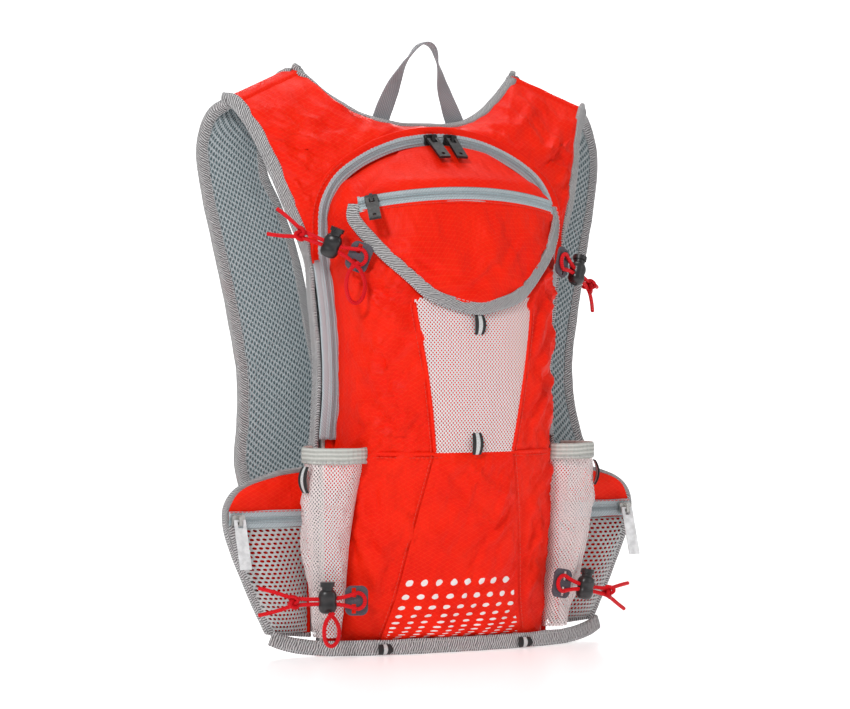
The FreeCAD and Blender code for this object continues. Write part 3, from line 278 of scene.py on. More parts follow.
def bars(name, spots, length, width, height, material, **extra):
    """Many small rounded bars at (place, along, out); used for stitches and zip teeth."""
    vertices = []
    faces = []
    uvs = []
    ring = ((-0.5, 0.0), (-0.3, 0.8), (0.0, 1.0), (0.3, 0.8), (0.5, 0.0))
    for place, along, out in spots:
        side = along.cross(out).normalized()
        start = len(vertices)
        for step, tall in ((-0.5, 0.15), (-0.36, 0.85), (0.0, 1.0), (0.36, 0.85), (0.5, 0.15)):
            for w, n in ring:
                vertices.append(place + along * (step * length) + side * (w * width)
                                + out * (n * tall * height))
        for r in range(4):
            for c in range(4):
                a = start + r * 5 + c
                faces.append((a, a + 5, a + 6, a + 1))
                uvs += [(c * width, r * length), (c * width, r * length), (c * width, r * length),
                        (c * width, r * length)]
    return mesh_piece(name, vertices, faces, uvs, material, **extra)


def stitches(name, frames, offset, material, pitch=0.0034, lift=0.0, **extra):
    """Row of lockstitches beside a line."""
    line = [point + across * offset + out * lift for point, across, out in frames]
    places = even(line, spacing=pitch)
    spots = []
    for i in range(len(places) - 1):
        place = (places[i] + places[i + 1]) / 2
        out = frames[min(round(i / (len(places) - 1) * (len(frames) - 1)), len(frames) - 1)][2]
        spots.append((place, (places[i + 1] - places[i]).normalized(), out))
    return bars(name, spots, pitch * 0.72, 0.0006, 0.00045, material, **extra)


def thicken(piece, thick):
    """Give a sheet its thickness."""
    solid = piece.modifiers.new("thick", "SOLIDIFY")
    solid.thickness = thick
    solid.offset = -1.0
    bake_modifiers(piece)
    return piece


def bake_modifiers(piece):
    graph = bpy.context.evaluated_depsgraph_get()
    mesh = bpy.data.meshes.new_from_object(piece.evaluated_get(graph), depsgraph=graph)
    piece.modifiers.clear()
    piece.data = mesh


# ----------------------------------------------------------- fabric that sags

CRUMPLED = []


def crumple(piece, growth, held, pressure=0.0, limit=0.004, bend=0.4, inward=0.0010):
    """Queue a piece for the cloth run: held(vertex) is True where it is sewn down."""
    group = piece.vertex_groups.new(name="sewn")
    group.add([v.index for v in piece.data.vertices if held(v.co)], 1.0, "REPLACE")
    cloth = piece.modifiers.new("cloth", "CLOTH")
    settings = cloth.settings
    settings.quality = 5
    settings.mass = 0.12
    settings.tension_stiffness = 20
    settings.compression_stiffness = 20
    settings.shear_stiffness = 8
    settings.bending_stiffness = bend
    settings.tension_damping = 8
    settings.compression_damping = 8
    settings.air_damping = 3
    settings.vertex_group_mass = "sewn"
    settings.shrink_min = -growth
    settings.use_pressure = pressure > 0
    settings.uniform_pressure_force = pressure
    settings.effector_weights.gravity = 0.0
    cloth.collision_settings.use_collision = False
    CRUMPLED.append((piece, limit, inward))


def run_cloth(frames=22):
    """Step every queued cloth together, cap how far it moves and apply it."""
    if not CRUMPLED:
        return
    for piece, _, _ in CRUMPLED:
        piece.modifiers["cloth"].point_cache.frame_end = frames
    for step in range(1, frames + 1):
        scene.frame_set(step)
    graph = bpy.context.evaluated_depsgraph_get()
    for piece, limit, inward in CRUMPLED:
        settled = piece.evaluated_get(graph).data
        moved = [v.co.copy() for v in settled.vertices]
        piece.modifiers.clear()
        for vertex, place in zip(piece.data.vertices, moved):
            step = place - vertex.co
            if step.length > limit:
                step *= limit / step.length
            step.y = min(step.y, inward)
            vertex.co += step
        piece.data.update()
    scene.frame_set(1)


# ------------------------------------------------------------------ materials

class Finish:
    """One procedural material, with short names for its nodes."""

    def __init__(self, name, colour, rough, coords="uv", specular=0.5):
        self.mat = bpy.data.materials.new(name)
        self.mat.use_nodes = True
        self.tree = self.mat.node_tree
        self.tree.nodes.clear()
        self.shader = self.node("ShaderNodeBsdfPrincipled")
        self.output = self.node("ShaderNodeOutputMaterial")
        self.link(self.shader.outputs[0], self.output.inputs[0])
        self.shader.inputs["Base Color"].default_value = (*colour, 1)
        self.shader.inputs["Roughness"].default_value = rough
        self.shader.inputs["Specular IOR Level"].default_value = specular
        if coords == "uv":
            source = self.node("ShaderNodeUVMap")
            source.uv_map = WEAVE
            self.place = source.outputs[0]
        else:
            self.place = self.node("ShaderNodeTexCoord").outputs["Object"]

    def node(self, kind, **settings):
        item = self.tree.nodes.new(kind)
        for key, value in settings.items():
            setattr(item, key, value)
        return item

    def link(self, start, end):
        self.tree.links.new(start, end)

    def feed(self, socket, value):
        if isinstance(value, bpy.types.NodeSocket):
            self.link(value, socket)
        else:
            socket.default_value = value

    def math(self, operation, a, b=0.0, c=0.0):
        item = self.node("ShaderNodeMath", operation=operation)
        for socket, value in zip(item.inputs, (a, b, c)):
            self.feed(socket, value)
        return item.outputs[0]

    def vector(self, operation, a, b=(0, 0, 0)):
        item = self.node("ShaderNodeVectorMath", operation=operation)
        self.feed(item.inputs[0], a)
        self.feed(item.inputs[1], b)
        return item.outputs["Value" if operation == "LENGTH" else "Vector"]

    def axis(self, name):
        item = self.node("ShaderNodeSeparateXYZ")
        self.link(self.place, item.inputs[0])
        return item.outputs[name]

    def ramp(self, value, low, high, start=0.0, end=1.0):
        item = self.node("ShaderNodeMapRange", interpolation_type="SMOOTHSTEP")
        for socket, number in zip(item.inputs, (value, low, high, start, end)):
            self.feed(socket, number)
        return item.outputs[0]

    def noise(self, scale, detail=3.0, stretch=(1, 1, 1)):
        item = self.node("ShaderNodeTexNoise")
        self.link(self.vector("MULTIPLY", self.place, stretch), item.inputs["Vector"])
        item.inputs["Scale"].default_value = scale
        item.inputs["Detail"].default_value = detail
        return item.outputs["Fac"]

    def mix(self, factor, first, second):
        item = self.node("ShaderNodeMix", data_type="RGBA")
        self.feed(item.inputs["Factor"], factor)
        for socket, value in zip((item.inputs[6], item.inputs[7]), (first, second)):
            self.feed(socket, value if isinstance(value, bpy.types.NodeSocket) else (*value, 1))
        return item.outputs[2]

    def wave(self, value, pitch, phase=0.0):
        """0 to 1 and back once every pitch."""
        turn = self.math("MULTIPLY_ADD", value, 2 * math.pi / pitch, phase)
        return self.math("MULTIPLY_ADD", self.math("SINE", turn), 0.5, 0.5)

    def cells(self, wide, tall, aspect=1.0):
        """Distance to the nearest centre of a staggered lattice, and to each half of it."""
        scaled = self.vector("MULTIPLY", self.place, (1 / wide, 1 / tall, 0))
        halves = []
        for shift in (0.0, 0.5):
            moved = self.vector("FRACTION", self.vector("ADD", scaled, (shift + 64, shift + 64, 0)))
            centred = self.vector("SUBTRACT", moved, (0.5, 0.5, 0))
            halves.append(self.vector("LENGTH", self.vector("MULTIPLY", centred, (aspect, 1, 0))))
        return self.math("MINIMUM", *halves), halves

    def bump(self, height, depth, strength=1.0):
        item = self.node("ShaderNodeBump")
        item.inputs["Strength"].default_value = strength
        item.inputs["Distance"].default_value = depth
        self.feed(item.inputs["Height"], height)
        if self.shader.inputs["Normal"].is_linked:
            self.link(self.shader.inputs["Normal"].links[0].from_socket, item.inputs["Normal"])
        self.link(item.outputs[0], self.shader.inputs["Normal"])

    def colour(self, value):
        self.feed(self.shader.inputs["Base Color"], value)

    def rough(self, low, high, scale=60.0):
        self.feed(self.shader.inputs["Roughness"], self.ramp(self.noise(scale), 0.3, 0.7, low, high))

    def sheen(self, weight, rough=0.4):
        self.shader.inputs["Sheen Weight"].default_value = weight
        self.shader.inputs["Sheen Roughness"].default_value = rough

    def see_through(self, solid):
        self.feed(self.shader.inputs["Alpha"], solid)


RED = (0.84, 0.010, 0.0012)
# Lighter red of the painted fold shading on the ripstop.
RED_FOLD_LIT = (0.90, 0.016, 0.002)
RED_YARN = (0.95, 0.048, 0.010)
# The first and last of these greys are the painted shade in the valleys and the painted highlight on the
# crests of the grosgrain ribs.
GREY_RIB_VALLEY_SHADE = (0.085, 0.080, 0.083)
GREY = (0.30, 0.30, 0.31)
GREY_RIB_CREST_HIGHLIGHT = (0.66, 0.65, 0.65)


def ripstop(name, printed=False, coords="uv"):
    """Red nylon with a woven honeycomb of thicker yarns, and painted fold shading in broad light and dark
    patches.
    """
    cloth = Finish(name, RED, 0.5, coords, specular=0.12)
    _, (first, second) = cloth.cells(0.0062, 0.0036)
    yarn = cloth.ramp(cloth.math("ABSOLUTE", cloth.math("SUBTRACT", first, second)), 0.0, 0.10, 1.0, 0.0)
    # Light and dark patches in a broad noise: painted shade of folds, not a tone of the cloth.
    cloudy = cloth.ramp(cloth.noise(26.0, 4.0), 0.32, 0.68)
    base = cloth.mix(cloudy, RED, RED_FOLD_LIT)
    base = cloth.mix(cloth.math("MULTIPLY", yarn, 0.55), base, RED_YARN)
    weave = cloth.math("ADD", cloth.wave(cloth.axis("X"), 0.0009), cloth.wave(cloth.axis("Y"), 0.0009))
    if printed:
        base = cloth.mix(halftone(cloth), base, (0.88, 0.84, 0.82))
    cloth.colour(base)
    cloth.bump(cloth.noise(90.0, 5.0, (1, 0.6, 1)), 0.0050, 0.45)
    cloth.bump(weave, 0.00006, 0.35)
    cloth.bump(yarn, 0.00018, 0.5)
    cloth.rough(0.40, 0.54)
    return cloth.mat


def halftone(cloth):
    """White dots in slanting rows that close up towards the bottom hem."""
    place = cloth.node("ShaderNodeTexCoord").outputs["Object"]
    split = cloth.node("ShaderNodeSeparateXYZ")
    cloth.link(place, split.inputs[0])
    x, z = split.outputs["X"], split.outputs["Z"]
    fall = cloth.math("DIVIDE", cloth.math("MAXIMUM", cloth.math("SUBTRACT", z, 0.0068), 0.0005), 0.0470)
    row = cloth.math("DIVIDE", cloth.math("LOGARITHM", fall, math.e), math.log(0.775))
    column = cloth.math("DIVIDE", x, 0.0112)
    column = cloth.math("MULTIPLY_ADD", row, 0.17, column)
    across = cloth.math("SUBTRACT", cloth.math("FRACT", cloth.math("ADD", column, 64.2)), 0.5)
    down = cloth.math("SUBTRACT", cloth.math("FRACT", cloth.math("ADD", row, 32.5)), 0.5)
    reach = cloth.math("SQRT", cloth.math("ADD", cloth.math("POWER", across, 2.0),
                                          cloth.math("POWER", cloth.math("MULTIPLY", down, 1.1), 2.0)))
    jitter = cloth.math("MULTIPLY_ADD", cloth.noise(380.0, 2.0), 0.10, -0.05)
    dot = cloth.ramp(cloth.math("ADD", reach, jitter), 0.215, 0.245, 1.0, 0.0)
    above = cloth.math("GREATER_THAN", row, -0.5)
    edge = cloth.math("MULTIPLY_ADD", z, -0.25, 0.0578)
    within = cloth.math("LESS_THAN", cloth.math("ABSOLUTE", x), edge)
    return cloth.math("MULTIPLY", dot, cloth.math("MULTIPLY", above, within))


def ribbed_tape(name):
    """Grey grosgrain: ribs across the tape, with painted shade in the valleys between the ribs and a painted
    highlight on their crests.
    """
    tape = Finish(name, GREY, 0.78)
    drift = tape.math("MULTIPLY_ADD", tape.noise(200.0, 2.0), 0.0026, 0.0)
    along = tape.math("ADD", tape.axis("Y"), drift)
    rib_height_and_shade = tape.ramp(tape.wave(along, 0.0018), 0.1, 0.9)
    fleck = tape.ramp(tape.noise(1400.0, 1.0, (0.25, 1, 1)), 0.35, 0.65)
    # Ribs dark in their valleys and light on their crests: painted shade and painted highlight.
    tone = tape.mix(rib_height_and_shade, GREY_RIB_VALLEY_SHADE, GREY_RIB_CREST_HIGHLIGHT)
    tone = tape.mix(tape.math("MULTIPLY", fleck, 0.40), tone, (0.36, 0.34, 0.35))
    blush = tape.ramp(tape.noise(45.0, 2.0), 0.5, 0.75, 0.0, 0.14)
    tape.colour(tape.mix(blush, tone, (0.42, 0.20, 0.20)))
    tape.bump(rib_height_and_shade, 0.0005, 0.9)
    tape.bump(tape.wave(tape.axis("X"), 0.0011), 0.00012, 0.5)
    tape.sheen(0.2)
    return tape.mat


def spacer_mesh(name):
    """Grey-blue spacer knit with long cells darkened by painted shade in their hollows."""
    knit = Finish(name, (0.2, 0.25, 0.27), 0.82)
    near, _ = knit.cells(0.0040, 0.0050, 1.35)
    cell_hollow_shade = knit.ramp(near, 0.17, 0.30)
    thread = knit.mix(knit.ramp(knit.noise(900.0, 2.0), 0.35, 0.65), (0.30, 0.35, 0.37), (0.50, 0.54, 0.56))
    # The dark colour in each cell is painted shade in its hollow.
    knit.colour(knit.mix(cell_hollow_shade, (0.085, 0.135, 0.150), thread))
    knit.bump(knit.ramp(near, 0.10, 0.42), 0.0012, 0.9)
    knit.bump(knit.wave(knit.axis("X"), 0.0007), 0.0001, 0.4)
    knit.sheen(0.25)
    return knit.mat


def open_mesh(name, colour, wide, tall, hole, aspect=1.0):
    """Knit with real openings that show what is behind."""
    knit = Finish(name, colour, 0.7)
    near, _ = knit.cells(wide, tall, aspect)
    solid = knit.ramp(near, hole, hole + 0.05)
    shade = knit.ramp(knit.noise(900.0, 1.0), 0.3, 0.7, 0.75, 1.0)
    knit.colour(knit.mix(shade, tuple(c * 0.7 for c in colour), colour))
    knit.bump(knit.ramp(near, hole, 0.5), 0.0005, 0.7)
    knit.see_through(solid)
    knit.sheen(0.2)
    return knit.mat


def knit_strands(name, colour):
    """Yarn of the coarse mesh, whose openings are cut in its shape."""
    knit = Finish(name, colour, 0.72)
    twist = knit.wave(knit.math("ADD", knit.axis("X"), knit.axis("Y")), 0.0010)
    knit.colour(knit.mix(knit.ramp(knit.noise(500.0, 2.0), 0.3, 0.7), tuple(c * 0.62 for c in colour),
                         colour))
    knit.bump(twist, 0.0002, 0.7)
    knit.sheen(0.2)
    return knit.mat


def woven_tape(name, light, dark, pitch=0.0011, coords="uv"):
    """Flat tape in a fine twill."""
    tape = Finish(name, light, 0.62, coords)
    first = tape.wave(tape.math("ADD", tape.axis("X"), tape.axis("Y")), pitch)
    second = tape.wave(tape.math("MULTIPLY_ADD", tape.axis("X"), -1.0, tape.axis("Y")), pitch * 1.5)
    twill = tape.math("MULTIPLY", first, second)
    tone = tape.mix(twill, dark, light)
    cloudy = tape.ramp(tape.noise(60.0), 0.3, 0.7, 0.0, 0.25)
    tape.colour(tape.mix(cloudy, tone, tuple(c * 0.8 for c in light)))
    tape.bump(twill, 0.00022, 0.7)
    tape.sheen(0.15)
    return tape.mat


def elastic_band(name):
    """Pale elastic: cords run along it and fine ribs cross it."""
    band = Finish(name, (0.5, 0.5, 0.47), 0.75)
    cords = band.wave(band.axis("X"), 0.0030)
    ribs = band.wave(band.axis("Y"), 0.0010)
    tone = band.mix(cords, (0.34, 0.35, 0.32), (0.60, 0.60, 0.56))
    band.colour(band.mix(band.math("MULTIPLY", ribs, 0.3), tone, (0.66, 0.66, 0.63)))
    band.bump(cords, 0.0005, 0.8)
    band.bump(ribs, 0.00015, 0.5)
    return band.mat


def striped_tape(name):
    """Black loop tape with a silver reflective stripe along its middle."""
    tape = Finish(name, (0.02, 0.02, 0.02), 0.6)
    middle = tape.math("ABSOLUTE", tape.axis("X"))
    stripe = tape.ramp(middle, 0.0014, 0.0018, 1.0, 0.0)
    beads = tape.ramp(tape.noise(1500.0, 1.0), 0.3, 0.7)
    silver = tape.mix(beads, (0.45, 0.46, 0.46), (0.72, 0.73, 0.73))
    tape.colour(tape.mix(stripe, (0.014, 0.013, 0.014), silver))
    tape.feed(tape.shader.inputs["Roughness"], tape.ramp(stripe, 0.0, 1.0, 0.7, 0.3))
    tape.bump(tape.wave(tape.axis("Y"), 0.0009), 0.0002, 0.6)
    return tape.mat


def moulded(name, colour, rough, grain=1600.0, coat=0.0):
    """Moulded plastic with a fine spark-eroded grain and cloudy tone."""
    part = Finish(name, colour, rough, "object")
    cloud = part.ramp(part.noise(120.0, 4.0), 0.3, 0.7)
    part.colour(part.mix(cloud, colour, tuple(min(c * 1.5 + 0.006, 1) for c in colour)))
    part.bump(part.noise(grain, 2.0), 0.0001, 0.25)
    part.rough(rough - 0.06, rough + 0.08, 90.0)
    part.shader.inputs["Coat Weight"].default_value = coat
    return part.mat


def enamelled(name, colour, rough, metal=0.0):
    """Painted or plated zip hardware with faint rub marks."""
    part = Finish(name, colour, rough, "object")
    rubs = part.ramp(part.noise(700.0, 3.0, (1, 1, 0.3)), 0.55, 0.75)
    part.colour(part.mix(part.math("MULTIPLY", rubs, 0.25), colour, (0.22, 0.20, 0.19)))
    part.shader.inputs["Metallic"].default_value = metal
    part.bump(part.noise(1100.0, 2.0), 0.00008, 0.3)
    part.rough(rough - 0.06, rough + 0.1, 160.0)
    return part.mat


def coated_tab(name):
    """Dark grey coated fabric with a leathery grain."""
    tab = Finish(name, (0.07, 0.06, 0.075), 0.6, "object", 0.3)
    near = tab.node("ShaderNodeTexVoronoi")
    tab.link(tab.place, near.inputs["Vector"])
    near.inputs["Scale"].default_value = 1300.0
    grain = tab.ramp(near.outputs["Distance"], 0.1, 0.6)
    tab.colour(tab.mix(grain, (0.050, 0.044, 0.056), (0.095, 0.085, 0.105)))
    tab.bump(grain, 0.00015, 0.5)
    tab.rough(0.5, 0.68)
    return tab.mat


def braided(name):
    """Round elastic in a braided red sheath."""
    cord = Finish(name, (0.7, 0.006, 0.01), 0.5, specular=0.2)
    first = cord.wave(cord.math("MULTIPLY_ADD", cord.axis("X"), 1.4, cord.axis("Y")), 0.0016)
    second = cord.wave(cord.math("MULTIPLY_ADD", cord.axis("X"), -1.4, cord.axis("Y")), 0.0016)
    braid = cord.math("MAXIMUM", first, second)
    cord.colour(cord.mix(braid, (0.42, 0.001, 0.004), (0.86, 0.006, 0.014)))
    cord.bump(braid, 0.00035, 0.8)
    return cord.mat


def plain(name, colour, rough, scale=300.0, depth=0.0002, coords="object", spread=0.75):
    """Cloth, foam or thread with a soft uneven surface."""
    item = Finish(name, colour, rough, coords)
    item.colour(item.mix(item.ramp(item.noise(scale, 3.0), 0.3, 0.7), tuple(c * spread for c in colour),
                         colour))
    item.bump(item.noise(scale * 2, 3.0), depth, 0.5)
    return item.mat


def film(name):
    """Smoky flexible water bladder."""
    sheet = Finish(name, (0.45, 0.60, 0.72), 0.25, "object")
    sheet.colour(sheet.mix(sheet.ramp(sheet.noise(40.0), 0.3, 0.7), (0.34, 0.48, 0.62), (0.55, 0.68, 0.78)))
    sheet.bump(sheet.noise(60.0, 3.0), 0.002, 0.3)
    sheet.shader.inputs["Coat Weight"].default_value = 0.4
    return sheet.mat


SHELL = ripstop("red_ripstop")
SHELL_PRINT = ripstop("red_ripstop_printed", printed=True)
SHELL_CAD = ripstop("red_ripstop_flat", coords="object")
BINDING = ribbed_tape("grey_grosgrain")
SPACER = spacer_mesh("grey_spacer_mesh")
FINE_MESH = open_mesh("white_fine_mesh", (0.90, 0.80, 0.79), 0.0026, 0.0030, 0.215, 1.2)
COARSE_MESH = knit_strands("grey_coarse_mesh", (0.80, 0.80, 0.80))
ZIP_TAPE = woven_tape("blue_grey_zip_tape", (0.62, 0.68, 0.70), (0.34, 0.41, 0.44), 0.0016)
COIL = plain("zip_coil_nylon", (0.42, 0.49, 0.52), 0.38, 900.0, 0.00005)
ELASTIC = elastic_band("pale_elastic")
WEBBING = woven_tape("grey_webbing", (0.44, 0.44, 0.46), (0.20, 0.20, 0.215), 0.0017)
WEBBING_CAD = woven_tape("grey_webbing_flat", (0.44, 0.44, 0.46), (0.20, 0.20, 0.215), 0.0017, "object")
STRIPE = striped_tape("black_reflective_tape")
TAB = coated_tab("dark_coated_tab")
PLASTIC = moulded("black_acetal", (0.012, 0.011, 0.012), 0.32)
ENAMEL = enamelled("black_enamel", (0.006, 0.005, 0.005), 0.46)
NICKEL = enamelled("nickel_plate", (0.55, 0.54, 0.52), 0.3, 1.0)
RIBBON = plain("clear_soft_ribbon", (0.80, 0.81, 0.82), 0.35, 200.0)
CORD = braided("red_braided_cord")
CORD_CORE = plain("cream_cord_core", (0.80, 0.74, 0.58), 0.7, 1500.0)
FOAM = plain("closed_cell_foam", (0.70, 0.70, 0.67), 0.85, 700.0, 0.0004)
BLADDER = film("smoky_bladder")
BLUE = moulded("blue_screw_cap", (0.02, 0.10, 0.42), 0.35)
THREAD = plain("red_thread", (0.86, 0.035, 0.012), 0.6, 2500.0, 0.0001)
THREAD_GREY = plain("grey_thread", (0.50, 0.50, 0.51), 0.6, 2500.0, 0.0001)


# --------------------------------------------------------- camera, light, floor

def studio():
    """Level camera at the front left, soft boxes and a pale floor."""
    low, high = CAD_BOX
    azimuth = math.radians(-25.0)
    distance = 2.30
    eye_height = 0.268
    eye = Vector((math.sin(azimuth) * distance, -math.cos(azimuth) * distance, eye_height))
    lens = bpy.data.cameras.new("camera")
    lens.lens = 128.2
    lens.sensor_width = 36.0
    lens.shift_x = -0.016
    lens.shift_y = -0.070
    camera = bpy.data.objects.new("camera", lens)
    camera.location = eye
    camera.rotation_euler = (math.radians(90.0), math.radians(CAMERA_ROLL), azimuth)
    scene.collection.objects.link(camera)
    scene.camera = camera

    floor_mesh = bpy.data.meshes.new("floor")
    reach = 2.0
    rim = [(reach * math.cos(math.pi * i / 48), reach * math.sin(math.pi * i / 48), 0.0) for i in range(96)]
    floor_mesh.from_pydata(rim, [], [tuple(range(96))])
    floor = bpy.data.objects.new("floor", floor_mesh)
    scene.collection.objects.link(floor)
    ground = Finish("pale_floor", (0.93, 0.93, 0.935), 0.30, "object", 0.25)
    ground.shader.inputs["Emission Color"].default_value = (1, 1, 1, 1)
    ground.shader.inputs["Emission Strength"].default_value = 0.34
    ground.colour(ground.mix(ground.ramp(ground.noise(3.0), 0.3, 0.7), (0.92, 0.92, 0.925),
                             (0.94, 0.94, 0.945)))
    floor_mesh.materials.append(ground.mat)

    world = bpy.data.worlds.new("studio")
    scene.world = world
    world.use_nodes = True
    sky = world.node_tree.nodes["Background"]
    sky.inputs["Color"].default_value = (1, 1, 1, 1)
    sky.inputs["Strength"].default_value = 0.44
    backdrop()
    middle = Vector((0, 0, (low[2] + high[2]) / 2))
    for name, place, across, power in (
            ("key_softbox", (-1.7, -1.5, 1.9), 0.55, 36.0),
            ("fill_softbox", (1.9, -1.3, 0.9), 1.3, 4.5),
            ("top_softbox", (0.2, 0.5, 2.1), 1.2, 12.0),
            ("rear_softbox", (0.9, 2.0, 1.1), 1.2, 14.0)):
        lamp = bpy.data.lights.new(name, "AREA")
        lamp.shape = "DISK"
        lamp.size = across
        lamp.energy = power
        item = bpy.data.objects.new(name, lamp)
        item.location = place
        item.rotation_euler = (middle - Vector(place)).to_track_quat("-Z", "Y").to_euler()
        scene.collection.objects.link(item)
    scene.view_settings.view_transform = "Standard"


CAMERA_ROLL = 0.0


def backdrop():
    """White cloth far behind the pack; it is only seen, and lights nothing."""
    mesh = bpy.data.meshes.new("backdrop")
    rows = 24
    points = []
    for i in range(rows + 1):
        angle = 2 * math.pi * i / rows
        points += [(9 * math.cos(angle), 9 * math.sin(angle), -9),
                   (9 * math.cos(angle), 9 * math.sin(angle), 9)]
    mesh.from_pydata(points, [], [(2 * i, 2 * i + 2, 2 * i + 3, 2 * i + 1) for i in range(rows)])
    wall = bpy.data.objects.new("backdrop", mesh)
    scene.collection.objects.link(wall)
    paint = Finish("backdrop_white", (1, 1, 1), 1.0, "object", 0.0)
    paint.shader.inputs["Emission Color"].default_value = (1, 1, 1, 1)
    paint.shader.inputs["Emission Strength"].default_value = 1.0
    mesh.materials.append(paint.mat)
    wall.visible_diffuse = False
    wall.visible_glossy = False
    wall.visible_transmission = False
    wall.visible_shadow = False

# ---------------------------------------------------------------------- cords

# Place of each cord tab, direction of its cord in X and Z, and lean about Z.
CORD_UNITS = {
    "top_left": ((-0.084, -0.0555, 0.296), (-0.93, 0.37), -36.0),
    "top_right": ((0.084, -0.0555, 0.293), (0.92, -0.39), 36.0),
    "bottom_left": ((-0.085, -0.053, 0.043), (-1.0, 0.0), -14.0),
    "bottom_right": ((0.085, -0.053, 0.049), (0.98, -0.2), 14.0),
}
# One strand in the unit's axes: along the cord, half spread, away from the bag.
STRAND = ((0.0, 0.006, 0.0025), (0.0112, 0.0017, 0.0025), (0.033, 0.0017, 0.0025),
          (0.048, 0.0026, 0.0015), (0.061, 0.0075, -0.001), (0.072, 0.010, -0.005))
KNOT_PLACE = (0.047, 0.0, 0.0016)


def unit_axes(name):
    """Matrix from a cord unit's axes to the frame's."""
    spot, (run_x, run_z), lean = CORD_UNITS[name]
    along = Vector((run_x, 0, run_z)).normalized()
    away = Vector((0, -1, 0))
    turn = Matrix((along, away.cross(along), away)).transposed()
    turn = Matrix.Rotation(math.radians(lean), 3, "Z") @ turn
    return Matrix.Translation(Vector(spot) + Vector((0, SHIFT_Y, 0))) @ turn.to_4x4()


def nurbs_line(points, spacing=0.0009):
    """Evenly spaced points along the smooth curve that a route steers."""
    curve = bpy.data.curves.new("route", "CURVE")
    curve.dimensions = "3D"
    curve.resolution_u = 24
    line = curve.splines.new("NURBS")
    line.points.add(len(points) - 1)
    for point, place in zip(line.points, points):
        point.co = (*place, 1.0)
    line.order_u = 3
    line.use_endpoint_u = True
    carrier = bpy.data.objects.new("route", curve)
    mesh = bpy.data.meshes.new_from_object(carrier)
    result = [v.co.copy() for v in mesh.vertices]
    bpy.data.objects.remove(carrier)
    bpy.data.curves.remove(curve)
    bpy.data.meshes.remove(mesh)
    return even(result, spacing=spacing)


def round_section(radius, count=14):
    return [(radius * math.cos(2 * math.pi * i / count), radius * math.sin(2 * math.pi * i / count))
            for i in range(count)]


def cord_tube(name, line, closed=False):
    """Braided tube along a line, with its core showing at a cut end."""
    piece = sweep(name, tube_frames(line), round_section(CORD_D / 2), CORD, slot="elastic_cord")
    if not closed:
        piece.data.materials.append(CORD_CORE)
        piece.data.polygons[len(piece.data.polygons) - 1].material_index = 1
    return piece


def knot(name, axes):
    """Overhand knot of the doubled cord, pulled snug."""
    size = 0.00148
    line = []
    for i in range(121):
        t = 2 * math.pi * i / 120
        place = Vector((-1.9 * math.sin(3 * t), math.sin(t) + 2 * math.sin(2 * t),
                        math.cos(t) - 2 * math.cos(2 * t)))
        line.append(axes @ (Vector(KNOT_PLACE) + place * size))
    return cord_tube(name, line, closed=True)


# Slack of the left cords: x, z and height of the top of each hanging loop, from its tab.
SLACK = {"top_left": (-0.006, -0.004, 0.030), "bottom_left": (-0.023, -0.008, 0.024)}
SLACK_SHAPE = ((0.10, 0.0), (-0.16, -0.22), (-0.25, -0.55), (-0.16, -0.88), (0.03, -1.0), (0.20, -0.86),
               (0.25, -0.52), (0.14, -0.20), (-0.06, 0.0))


def slack_loop(name):
    """Loop of spare cord that hangs below the tab or the lock."""
    (x, y, z), _, _ = CORD_UNITS[name]
    step_x, step_z, tall = SLACK[name]
    points = []
    for across, down in SLACK_SHAPE:
        px = x + step_x + across * tall
        pz = z + step_z + down * tall
        front = at(0, y - 0.0055, 0).y - 0.0020 * math.sin(-down * math.pi)
        points.append(Vector((px, min(front, bag_y(px, pz, 0.002) - 0.003), pz)))
    return cord_tube(name + "_slack", spline(points, 0.0009), closed=True)


def cord_units():
    """Elastic cord of each unit: two strands, the bight in the tab and the knot."""
    for name in CORD_UNITS:
        axes = unit_axes(name)
        tied = knot(name + "_knot", axes)
        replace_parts(tied, "bungee_knots")
        bend = []
        for i in range(25):
            angle = math.pi * (0.5 + i / 24)
            bend.append(axes @ Vector((0.006 * math.cos(angle), 0.006 * math.sin(angle), 0.0025)))
        bight = cord_tube(name + "_bight", bend, closed=True)
        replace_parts(bight, name + "_bungee")
        if name in SLACK:
            slack = slack_loop(name)
            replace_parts(slack, name + "_bungee")
        for label, side in (("upper", 1), ("lower", -1)):
            route = [axes @ Vector((x, side * y, z)) for x, y, z in STRAND]
            line = nurbs_line(route)
            strand = cord_tube("%s_%s_strand" % (name, label), line)
            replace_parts(strand, name + "_bungee")


# ------------------------------------------------------------------- the bag

def bag_levels(low, high, spacing):
    """Heights that are evenly spaced along the bag's middle line."""
    steps = 400
    line = [on_bag(0.0, low + (high - low) * math.sin(0.5 * math.pi * i / steps)) for i in range(steps + 1)]
    return [p.z for p in even(line, spacing=spacing)]


def bag_row(z, count, lift=0.0):
    """Evenly spaced points across the bag at a height."""
    line = []
    width = half_width(z, lift - TAPE_WIDTH)
    depth = bag_depth(z) + lift
    for i in range(121):
        angle = math.pi * (1 - i / 120)
        across = math.copysign(abs(math.cos(angle)) ** 0.8, math.cos(angle))
        line.append(Vector((width * across, BAG_Y - depth * abs(math.sin(angle)) ** 0.8, z)))
    return even(line, count=count)


# Half outlines on the +X side, x and z, from bottom to top.
PANEL_EDGE = ((0.0590, 0.009), (0.0510, 0.041), (0.0455, 0.076), (0.0395, 0.112), (0.0320, 0.151))
MESH_EDGE = ((0.0320, 0.152), (0.0395, 0.205), (0.0470, 0.2525), (0.0480, 0.268))
POCKET_EDGE = ((0.002, 0.2582), (0.012, 0.2600), (0.034, 0.267), (0.051, 0.282), (0.070, 0.302),
               (0.082, 0.320),
               (0.084, 0.3275))


def edge_x(edge, z):
    """Half width of an outline at a height."""
    line = spline([(x, 0, h) for x, h in edge], 0.001)
    for a, b in zip(line, line[1:]):
        if z <= b.z:
            return a.x + (b.x - a.x) * max(min((z - a.z) / max(b.z - a.z, 1e-6), 1.0), 0.0)
    return line[-1].x


